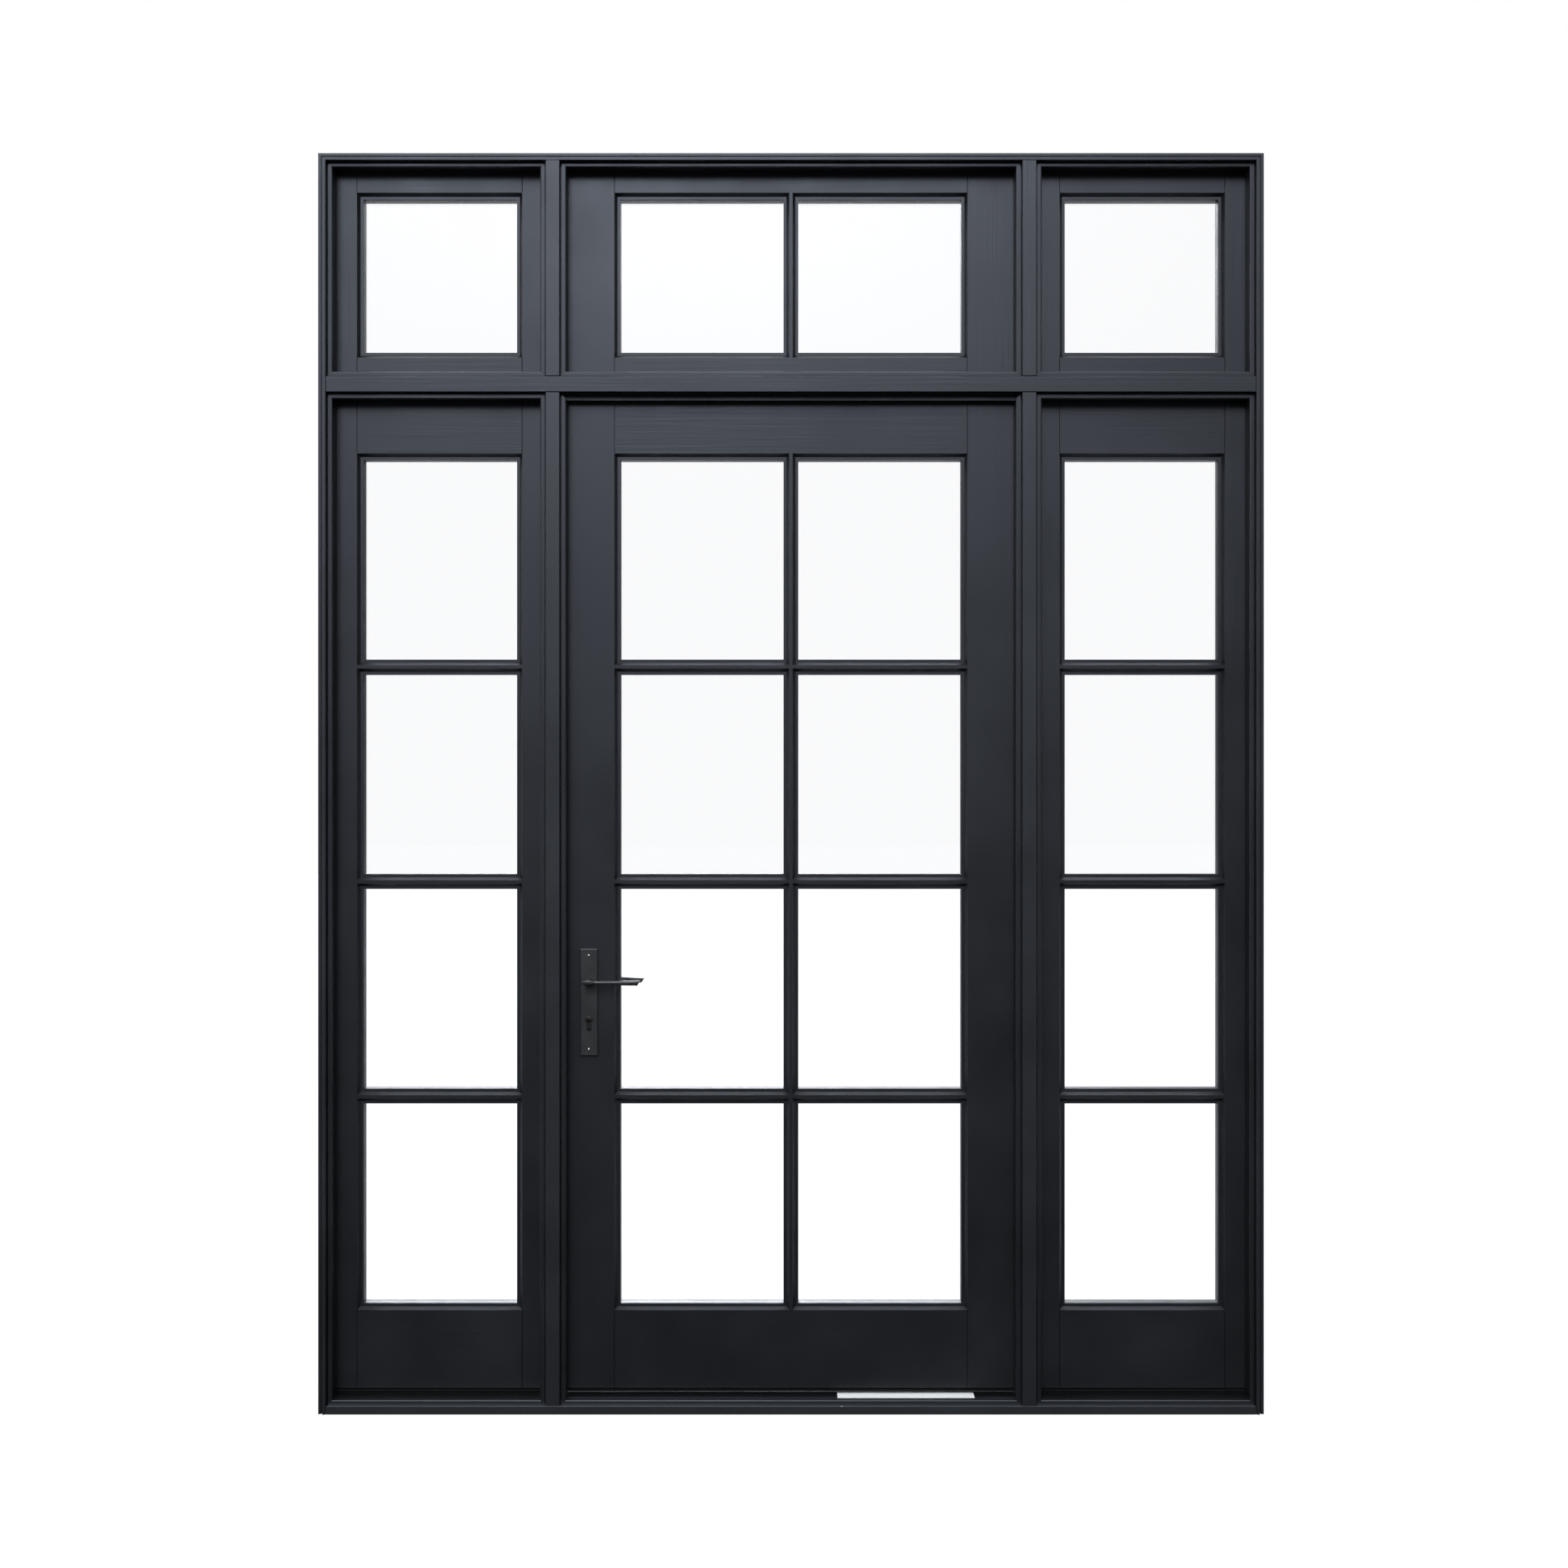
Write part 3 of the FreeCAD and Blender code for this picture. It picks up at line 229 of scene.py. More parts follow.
def sprayed_paint(name, settings, level, painted_light=1.0, chips=(), seams=()):
    """Satin charcoal paint, sprayed on planed hardwood in the works.

    The film is smooth, with a slight orange peel that breaks up its soft highlights, and the
    timber's grain shows under it as faint long lines. Painted light makes it paler by a factor,
    a painted brightening for the extra light on parts that stand forward, and chips bare the
    pale primer. Seams are the places, across, of the hair lines that the film shows over the
    joints between rails and stiles.
    """
    made, tree, coords = new_material(name)
    across, along = 1.0 / settings.grain_width, 1.0 / settings.grain_length
    stretch = (along, across, across) if level else (across, across, along)
    # Real grain is about 0.5 mm wide, drawn coarser here so that it shows at this distance.
    grain_space = add(tree, "ShaderNodeMapping", {"Vector": coords, "Scale": stretch})
    grain = add(tree, "ShaderNodeTexNoise", {
        "Vector": grain_space.outputs[0], "Scale": 1.0, "Detail": 3.0, "Roughness": 0.55})
    # Sprayed film dimples are 1 to 3 mm wide, drawn coarser for the same reason.
    peel = add(tree, "ShaderNodeTexNoise", {
        "Vector": coords, "Scale": 1.0 / settings.peel_size, "Detail": 1.0})
    # Handling and weather leave soft cloudy patches about 250 mm wide.
    cloud = add(tree, "ShaderNodeTexNoise", {
        "Vector": coords, "Scale": 1.0 / (250.0 * MM), "Detail": 4.0, "Roughness": 0.6})
    # Painted light: the paint's colour is scaled up by this factor, standing in for the extra light on
    # forward parts.
    painted_light_colour = tuple(c * painted_light for c in settings.paint)
    paint = painted_light_colour + (1.0,)
    dusty = tuple(min(1.0, c * 1.2 + 0.0006) for c in painted_light_colour) + (1.0,)
    deep = tuple(c * 0.86 for c in painted_light_colour) + (1.0,)
    clouded = add(tree, "ShaderNodeMix", {
        "Factor": cloud.outputs["Fac"], 6: deep, 7: dusty}, data_type="RGBA")
    lines = add(tree, "ShaderNodeMapRange", {
        "Value": grain.outputs["Fac"], "From Min": 0.3, "From Max": 0.7, "To Max": 0.3})
    grained = add(tree, "ShaderNodeMix", {
        "Factor": lines.outputs[0], 6: clouded.outputs[2], 7: paint}, data_type="RGBA")
    colour = grained.outputs[2]
    rough = add(tree, "ShaderNodeMapRange", {
        "Value": cloud.outputs["Fac"], "From Min": 0.3, "From Max": 0.7,
        "To Min": settings.paint_sheen - 0.05, "To Max": settings.paint_sheen + 0.06})
    for spot, radius in chips:
        away = add(tree, "ShaderNodeVectorMath", {0: coords, 1: spot}, operation="DISTANCE")
        edge = add(tree, "ShaderNodeMath", {
            0: peel.outputs["Fac"], 1: radius, 2: away.outputs["Value"]}, operation="MULTIPLY_ADD")
        chip = add(tree, "ShaderNodeMath", {0: edge.outputs[0], 1: radius * 1.5}, operation="LESS_THAN")
        bared = add(tree, "ShaderNodeMix", {
            "Factor": chip.outputs[0], 6: colour, 7: linear("e8e6e1") + (1.0,)}, data_type="RGBA")
        colour = bared.outputs[2]
    low = add(tree, "ShaderNodeBump", {
        "Height": grain.outputs["Fac"], "Strength": 0.5, "Distance": 0.3 * MM})
    fine = add(tree, "ShaderNodeBump", {
        "Height": peel.outputs["Fac"], "Strength": 0.05, "Distance": 0.3 * MM, "Normal": low.outputs[0]})
    place = add(tree, "ShaderNodeSeparateXYZ", {"Vector": coords})
    for seam in seams:
        off = add(tree, "ShaderNodeMath", {0: place.outputs["X"], 1: seam}, operation="SUBTRACT")
        off = add(tree, "ShaderNodeMath", {0: off.outputs[0]}, operation="ABSOLUTE")
        # A joint line is about 0.3 mm wide, drawn wider so that it shows at this distance.
        line = add(tree, "ShaderNodeMapRange", {
            "Value": off.outputs[0], "From Min": 0.3 * MM, "From Max": 1.3 * MM,
            "To Min": 1.0, "To Max": 0.0})
        darkened = add(tree, "ShaderNodeMix", {
            "Factor": line.outputs[0], 6: colour, 7: linear("040405") + (1.0,)}, data_type="RGBA")
        colour = darkened.outputs[2]
        fine = add(tree, "ShaderNodeBump", {
            "Height": line.outputs[0], "Strength": 1.0, "Distance": 0.8 * MM, "Normal": fine.outputs[0]},
            invert=True)
    # The reflections are tinted cool blue in the paint itself: a painted cool tint of the light that the
    # paint reflects.
    finish_surface(tree, add(tree, "ShaderNodeBsdfPrincipled", {
        "Base Color": colour, "Roughness": rough.outputs[0], "Normal": fine.outputs[0], "IOR": 1.5,
        "Specular Tint": linear("e9efff") + (1.0,)}))
    return made


def float_glass(name, settings):
    """Clear float glass: nearly invisible head on, with a cool tint and a light film of dust."""
    made, tree, coords = new_material(name)
    film = add(tree, "ShaderNodeTexNoise", {
        "Vector": coords, "Scale": 3.0, "Detail": 5.0, "Roughness": 0.65})
    rough = add(tree, "ShaderNodeMapRange", {
        "Value": film.outputs["Fac"], "From Min": 0.35, "From Max": 0.75, "To Max": 0.025})
    finish_surface(tree, add(tree, "ShaderNodeBsdfPrincipled", {
        "Base Color": tuple(settings.glass) + (1.0,), "Roughness": rough.outputs[0], "IOR": 1.5,
        "Transmission Weight": 1.0, "Alpha": 0.07}))
    return made


def coated_metal(name, colour, roughness, grit, gloss=0.5):
    """Powder coat baked on metal: even, a little grainy, with softly broken highlights.

    Grit is the width of one grain, and a low gloss stands for a chalky matt coat.
    """
    made, tree, coords = new_material(name)
    grains = add(tree, "ShaderNodeTexNoise", {"Vector": coords, "Scale": 1.0 / grit, "Detail": 2.0})
    worn = add(tree, "ShaderNodeTexNoise", {"Vector": coords, "Scale": 45.0, "Detail": 3.0})
    light = tuple(min(1.0, c * 1.35 + 0.0015) for c in colour) + (1.0,)
    deep = tuple(c * 0.8 for c in colour) + (1.0,)
    tone = add(tree, "ShaderNodeMix", {"Factor": worn.outputs["Fac"], 6: deep, 7: light}, data_type="RGBA")
    rough = add(tree, "ShaderNodeMapRange", {
        "Value": worn.outputs["Fac"], "From Min": 0.3, "From Max": 0.7,
        "To Min": roughness - 0.05, "To Max": roughness + 0.05})
    bump = add(tree, "ShaderNodeBump", {
        "Height": grains.outputs["Fac"], "Strength": 0.15, "Distance": 0.1 * MM})
    finish_surface(tree, add(tree, "ShaderNodeBsdfPrincipled", {
        "Base Color": tone.outputs[2], "Roughness": rough.outputs[0], "Normal": bump.outputs[0], "IOR": 1.5,
        "Specular IOR Level": gloss}))
    return made


def brushed_metal(name, pale, dark, roughness, stretch):
    """Metal rubbed one way: fine bright and dull lines that spread its highlights across them.

    Stretch is the number of lines in a metre along each axis.
    """
    made, tree, coords = new_material(name)
    space = add(tree, "ShaderNodeMapping", {"Vector": coords, "Scale": stretch})
    lines = add(tree, "ShaderNodeTexNoise", {
        "Vector": space.outputs[0], "Scale": 1.0, "Detail": 3.0, "Roughness": 0.6})
    tone = add(tree, "ShaderNodeMix", {
        "Factor": lines.outputs["Fac"], 6: linear(dark) + (1.0,), 7: linear(pale) + (1.0,)},
        data_type="RGBA")
    rough = add(tree, "ShaderNodeMapRange", {
        "Value": lines.outputs["Fac"], "From Min": 0.3, "From Max": 0.7,
        "To Min": roughness - 0.06, "To Max": roughness + 0.08})
    bump = add(tree, "ShaderNodeBump", {
        "Height": lines.outputs["Fac"], "Strength": 0.1, "Distance": 0.05 * MM})
    finish_surface(tree, add(tree, "ShaderNodeBsdfPrincipled", {
        "Base Color": tone.outputs[2], "Roughness": rough.outputs[0], "Metallic": 1.0,
        "Normal": bump.outputs[0]}))
    return made


def bare_aluminium(name):
    """Aluminium drawn nearly white, with grey patches that gather towards its back edge."""
    made, tree, coords = new_material(name)
    space = add(tree, "ShaderNodeMapping", {"Vector": coords, "Scale": (60.0, 400.0, 400.0)})
    lines = add(tree, "ShaderNodeTexNoise", {"Vector": space.outputs[0], "Scale": 1.0, "Detail": 3.0})
    grey_patch_space = add(tree, "ShaderNodeMapping", {"Vector": coords, "Scale": (45.0, 160.0, 1.0)})
    grey_patches = add(tree, "ShaderNodeTexNoise", {
        "Vector": grey_patch_space.outputs[0], "Scale": 1.0, "Detail": 4.0, "Roughness": 0.6})
    place = add(tree, "ShaderNodeSeparateXYZ", {"Vector": coords})
    # The grey patches grow from 15 mm in front of the frame's middle to 8 mm behind it.
    back = add(tree, "ShaderNodeMapRange", {
        "Value": place.outputs["Y"], "From Min": -15.0 * MM, "From Max": 8.0 * MM, "To Max": 0.16})
    amount = add(tree, "ShaderNodeMath", {0: grey_patches.outputs["Fac"], 1: back.outputs[0]}, operation="ADD")
    mask = add(tree, "ShaderNodeMapRange", {
        "Value": amount.outputs[0], "From Min": 0.7, "From Max": 0.95})
    bright = add(tree, "ShaderNodeMix", {
        "Factor": lines.outputs["Fac"], 6: linear("f4f4f4") + (1.0,), 7: linear("ffffff") + (1.0,)},
        data_type="RGBA")
    tone = add(tree, "ShaderNodeMix", {
        "Factor": mask.outputs[0], 6: bright.outputs[2], 7: linear("6a6a6b") + (1.0,)}, data_type="RGBA")
    rough = add(tree, "ShaderNodeMapRange", {"Value": mask.outputs[0], "To Min": 0.42, "To Max": 0.7})
    finish_surface(tree, add(tree, "ShaderNodeBsdfPrincipled", {
        "Base Color": tone.outputs[2], "Roughness": rough.outputs[0], "Metallic": 0.1}))
    return made


def black_rubber(name):
    """Extruded EPDM rubber: matt black, with a faint fine grit and a dusty bloom."""
    made, tree, coords = new_material(name)
    bloom = add(tree, "ShaderNodeTexNoise", {"Vector": coords, "Scale": 25.0, "Detail": 4.0})
    tone = add(tree, "ShaderNodeMix", {
        "Factor": bloom.outputs["Fac"], 6: linear("0f0f10") + (1.0,), 7: linear("242425") + (1.0,)},
        data_type="RGBA")
    grit = add(tree, "ShaderNodeTexNoise", {"Vector": coords, "Scale": 600.0, "Detail": 1.0})
    bump = add(tree, "ShaderNodeBump", {
        "Height": grit.outputs["Fac"], "Strength": 0.2, "Distance": 0.1 * MM})
    finish_surface(tree, add(tree, "ShaderNodeBsdfPrincipled", {
        "Base Color": tone.outputs[2], "Roughness": 0.62, "Normal": bump.outputs[0], "IOR": 1.5}))
    return made


def studio_world(settings):
    """White for what the camera sees, and soft patches of light for what the unit reflects."""
    world = bpy.data.worlds.new("white_studio")
    world.use_nodes = True
    tree = world.node_tree
    tree.nodes.clear()
    path = add(tree, "ShaderNodeLightPath")
    coords = add(tree, "ShaderNodeTexCoord")
    way = add(tree, "ShaderNodeSeparateXYZ", {"Vector": coords.outputs["Generated"]})
    right, up = way.outputs["X"], way.outputs["Z"]
    aside = add(tree, "ShaderNodeMath", {0: right}, operation="ABSOLUTE").outputs[0]
    depth = add(tree, "ShaderNodeMath", {0: way.outputs["Y"]}, operation="ABSOLUTE").outputs[0]
    # Light from all round above the horizon, with brighter patches high up in front and behind,
    # where the camera finds them in the flat faces, and bands of it further round for other views.
    level = add(tree, "ShaderNodeMapRange", {
        "Value": up, "From Min": -0.03, "From Max": 0.03, "To Min": 0.03, "To Max": settings.sky},
        interpolation_type="SMOOTHSTEP").outputs[0]
    # Each of these has soft edges, given from where an edge begins to where the light is full.
    for glow, edges in (
            (settings.sky_patch, ((up, 0.11, 0.36), (up, 0.9, 0.6), (right, 0.22, -0.05),
                                  (right, -0.45, 0.0), (depth, 0.0, 0.5))),
            (settings.side_bands, ((aside, 0.4, 0.55), (aside, 0.9, 0.75), (up, 0.05, 0.25),
                                   (up, 0.8, 0.5))),
            (settings.overhead, ((up, 0.74, 0.92),)),
            (settings.left_fill, ((right, -0.55, -0.95),))):
        for value, begins, full in edges:
            edge = add(tree, "ShaderNodeMapRange", {
                "Value": value, "From Min": begins, "From Max": full}, interpolation_type="SMOOTHSTEP")
            glow = add(tree, "ShaderNodeMath", {0: glow, 1: edge.outputs[0]},
                       operation="MULTIPLY").outputs[0]
        level = add(tree, "ShaderNodeMath", {0: level, 1: glow}, operation="ADD").outputs[0]
    light = add(tree, "ShaderNodeBackground", {"Color": linear("f6faff") + (1.0,), "Strength": level})
    white = add(tree, "ShaderNodeBackground", {"Color": (1.0, 1.0, 1.0, 1.0), "Strength": 1.0})
    seen = add(tree, "ShaderNodeMath", {
        0: path.outputs["Is Camera Ray"], 1: path.outputs["Is Transmission Ray"]}, operation="MAXIMUM")
    mixed = add(tree, "ShaderNodeMixShader", {
        0: seen.outputs[0], 1: light.outputs[0], 2: white.outputs[0]})
    add(tree, "ShaderNodeOutputWorld", {"Surface": mixed.outputs[0]})
    return world


def studio_floor(name):
    """A floor that is white for the camera, and grey for what the unit reflects."""
    made, tree, coords = new_material(name)
    path = add(tree, "ShaderNodeLightPath")
    seen = add(tree, "ShaderNodeMath", {
        0: path.outputs["Is Camera Ray"], 1: path.outputs["Is Transmission Ray"]}, operation="MAXIMUM")
    place = add(tree, "ShaderNodeSeparateXYZ", {"Vector": coords})
    # The grey is dark in a fan in front of the unit, and paler beside it and behind.
    off = add(tree, "ShaderNodeMath", {0: place.outputs["X"]}, operation="ABSOLUTE")
    fan = add(tree, "ShaderNodeMath", {0: place.outputs["Y"], 1: 0.35, 2: off.outputs[0]},
              operation="MULTIPLY_ADD")
    aside = add(tree, "ShaderNodeMapRange", {"Value": fan.outputs[0], "From Min": 2.0, "From Max": 3.2})
    behind = add(tree, "ShaderNodeMapRange", {
        "Value": place.outputs["Y"], "From Min": 0.1, "From Max": 0.5})
    pale = add(tree, "ShaderNodeMath", {0: aside.outputs[0], 1: behind.outputs[0]}, operation="MAXIMUM")
    tone = add(tree, "ShaderNodeMix", {
        "Factor": pale.outputs[0], 6: linear("2e2e2f") + (1.0,), 7: linear("909091") + (1.0,)},
        data_type="RGBA")
    dark = add(tree, "ShaderNodeBsdfDiffuse", {"Color": tone.outputs[2]})
    lit = add(tree, "ShaderNodeBsdfDiffuse", {"Color": linear("525253") + (1.0,)})
    glow = add(tree, "ShaderNodeEmission", {"Color": (1.0, 1.0, 1.0, 1.0), "Strength": 0.97})
    both = add(tree, "ShaderNodeAddShader", {0: lit.outputs[0], 1: glow.outputs[0]})
    finish_surface(tree, add(tree, "ShaderNodeMixShader", {
        0: seen.outputs[0], 1: dark.outputs[0], 2: both.outputs[0]}))
    return made


def piece_ends(name):
    """The left and right ends of every separate piece in a node, as places across."""
    mesh = bmesh.new()
    mesh.from_mesh(bpy.data.objects[name].data)
    bmesh.ops.remove_doubles(mesh, verts=mesh.verts, dist=0.01 * MM)
    waiting, ends = set(mesh.verts), set()
    while waiting:
        reached = [waiting.pop()]
        for vert in reached:
            beside = {edge.other_vert(vert) for edge in vert.link_edges} & waiting
            waiting -= beside
            reached.extend(beside)
        ends.add(round(min(vert.co.x for vert in reached), 5))
        ends.add(round(max(vert.co.x for vert in reached), 5))
    mesh.free()
    return sorted(ends)


def take(pieces):
    """Select these pieces and nothing else, and make the first one active."""
    for piece in list(bpy.context.selected_objects):
        piece.select_set(False)
    for piece in pieces:
        piece.select_set(True)
    if pieces:
        bpy.context.view_layer.objects.active = pieces[0]


def edit(piece):
    """Open one piece for editing, with nothing in it selected."""
    take([piece])
    bpy.ops.object.mode_set(mode="EDIT")
    bpy.ops.mesh.select_all(action="DESELECT")


def pick(kind, test):
    """Select the VERT, EDGE or FACE elements whose middle and direction pass a test."""
    bpy.ops.mesh.select_mode(type=kind)
    data = bpy.context.edit_object.data
    mesh = bmesh.from_edit_mesh(data)
    mesh.normal_update()
    if kind == "VERT":
        found = [(v, v.co, v.normal) for v in mesh.verts]
    elif kind == "EDGE":
        found = [(e, (e.verts[0].co + e.verts[1].co) / 2.0,
                  (e.verts[1].co - e.verts[0].co).normalized()) for e in mesh.edges]
    else:
        found = [(f, f.calc_center_median(), f.normal) for f in mesh.faces]
    for element, middle, way in found:
        element.select = bool(test(middle, way))
    mesh.select_flush_mode()
    bmesh.update_edit_mesh(data)


def done():
    """Leave edit mode with the piece's faces turned outwards."""
    bpy.ops.mesh.select_all(action="SELECT")
    bpy.ops.mesh.remove_doubles(threshold=WELD)
    bpy.ops.mesh.normals_make_consistent(inside=False)
    bpy.ops.object.mode_set(mode="OBJECT")
    return bpy.context.active_object


def block(low, high):
    """A block between two corners, ready to be shaped, with its place in its mesh."""
    take([])
    middle = [(a + b) / 2.0 for a, b in zip(low, high)]
    size = [b - a for a, b in zip(low, high)]
    bpy.ops.mesh.primitive_cube_add(size=1.0, location=middle, scale=size)
    bpy.ops.object.transform_apply(location=True, rotation=True, scale=True)
    return bpy.context.active_object


def rod(start, end, radius, end_radius=None, sides=32):
    """A round bar or cone between two points, ready to be shaped."""
    take([])
    start, end = Vector(start), Vector(end)
    turn = (end - start).to_track_quat("Z", "Y").to_euler()
    bpy.ops.mesh.primitive_cone_add(vertices=sides, radius1=radius, depth=(end - start).length,
                                    radius2=radius if end_radius is None else end_radius,
                                    location=(start + end) / 2.0, rotation=turn)
    bpy.ops.object.transform_apply(location=True, rotation=True, scale=True)
    return bpy.context.active_object


def combine(piece, other, operation):
    """Join another piece to this one, or cut it out, and use the other one up."""
    take([piece])
    step = piece.modifiers.new("combine", "BOOLEAN")
    step.operation = operation
    step.solver = "EXACT"
    step.object = other
    bpy.ops.object.modifier_apply(modifier=step.name)
    bpy.data.objects.remove(other)
    return piece


def soften(piece, width, segments, angle):
    """Round every edge sharper than an angle in degrees."""
    take([piece])
    step = piece.modifiers.new("soften", "BEVEL")
    step.width = width
    step.segments = segments
    step.limit_method = "ANGLE"
    step.angle_limit = math.radians(angle)
    bpy.ops.object.modifier_apply(modifier=step.name)
    return piece


def copied(piece, place, *turns):
    """A copy with its own mesh, given each turn or mirroring in order, then moved to its place."""
    made = piece.copy()
    made.data = piece.data.copy()
    bpy.context.scene.collection.objects.link(made)
    for turn in turns:
        made.data.transform(turn)
    made.data.transform(Matrix.Translation(place))
    return made


def about(point, turn):
    """A turn or mirroring about a point in place of the origin."""
    return Matrix.Translation(point) @ turn @ Matrix.Translation([-value for value in point])


def joined(pieces):
    """One piece from several."""
    take(pieces)
    bpy.ops.object.join()
    return bpy.context.active_object


def fit(piece, name, body, made):
    """Name a finished piece, shade it, give it its material and hang it on its body."""
    take([piece])
    bpy.ops.object.shade_smooth_by_angle(angle=SMOOTH_ANGLE)
    piece.name = piece.data.name = name
    dress([name], made)
    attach(piece, body)


def cross_head(settings):
    """A small raised screw head with a cross recess, at the origin, facing outwards along -Y."""
    radius, rise = settings.screw_head / 2.0, settings.screw_rise
    head = rod((0.0, rise, 0.0), (0.0, -rise, 0.0), radius, radius * 0.8, 20)
    edit(head)
    pick("FACE", lambda at, way: way.y < -0.9)
    bpy.ops.mesh.inset(thickness=radius * 0.3, depth=rise * 0.3)
    head = done()
    reach, half = radius * 0.62, radius * 0.13
    cross = block((-reach, -rise * 2.0, -half), (reach, rise * 0.2, half))
    cross = combine(cross, block((-half, -rise * 2.0, -reach), (half, rise * 0.2, reach)), "UNION")
    return combine(head, cross, "DIFFERENCE")


def flat_head(radius, depth):
    """A countersunk screw head with a cross recess, at the origin, its flat face towards -X."""
    head = rod((0.0, 0.0, 0.0), (depth, 0.0, 0.0), radius, radius * 0.5, 16)
    edit(head)
    pick("FACE", lambda at, way: way.x < -0.9)
    bpy.ops.mesh.inset(thickness=radius * 0.12, depth=radius * 0.06)
    head = done()
    reach, half = radius * 0.6, radius * 0.14
    cross = block((-depth, -reach, -half), (depth * 0.5, reach, half))
    cross = combine(cross, block((-depth, -half, -reach), (depth * 0.5, half, reach)), "UNION")
    return combine(head, cross, "DIFFERENCE")


class UNIT_OT_paint_timber(bpy.types.Operator):
    """Paint every timber member, with its grain along its length"""

    bl_idname = "entrance.paint_timber"
    bl_label = "Paint Timber"

    def execute(self, context):
        settings = context.scene.entrance_finish
        dress(UPRIGHT_TIMBER, sprayed_paint("sprayed_paint_upright_grain", settings, False))
        dress(LEVEL_TIMBER, sprayed_paint("sprayed_paint_level_grain", settings, True))
        # The strips' paint is drawn paler: painted light.
        dress(PAINTED_LIGHT_STRIPS, sprayed_paint("sprayed_paint_strips", settings, False, STRIP_PAINTED_LIGHT))
        for name in RAILS:
            dress([name], sprayed_paint("sprayed_paint_" + name, settings, True, seams=piece_ends(name)))
        low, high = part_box("sill_nosing")
        chip = ((CHIP_X, low.y, high.z), CHIP_R)
        # The nosing's paint is drawn paler: painted light, for the light on its front face.
        dress(["sill_nosing"], sprayed_paint("sprayed_paint_nosing", settings, True, NOSING_PAINTED_LIGHT, [chip]))
        return {"FINISHED"}


class UNIT_OT_glaze(bpy.types.Operator):
    """Give the panes their glass"""

    bl_idname = "entrance.glaze"
    bl_label = "Glaze"

    def execute(self, context):
        dress(GLASS, float_glass("clear_float_glass", context.scene.entrance_finish))
        return {"FINISHED"}


class UNIT_OT_finish_metalwork(bpy.types.Operator):
    """Give hinges, lock furniture, weather bars and threshold their metals"""

    bl_idname = "entrance.finish_metalwork"
    bl_label = "Finish Metalwork"

    def execute(self, context):
        settings = context.scene.entrance_finish
        dress(["sidelight_weather_bars", "door_weather_bar"],
              coated_metal("matt_powder_coated_aluminium", settings.coated_metal, 0.75, 1.2 * MM, 0.12))
        dress(["handle_plates"],
              coated_metal("satin_black_coated_zinc", settings.furniture, 0.36, 0.8 * MM))
        dress(["frame_hinge_leaves", "door_hinge_leaves", "hinge_pins", "strike_plate"],
              brushed_metal("satin_stainless_steel", "a8a8a6", "7c7c7c", 0.36, (900.0, 900.0, 12.0)))
        dress(["lever_spindle"],
              brushed_metal("bright_stainless_steel", "e2e2e2", "b4b4b4", 0.25, (500.0, 500.0, 500.0)))
        dress(["threshold_plate"],
              brushed_metal("black_anodised_aluminium", "3e4044", "2a2c2f", 0.45, (30.0, 700.0, 700.0)))
        dress(["threshold_bare_plate"], bare_aluminium("nearly_white_aluminium"))
        return {"FINISHED"}


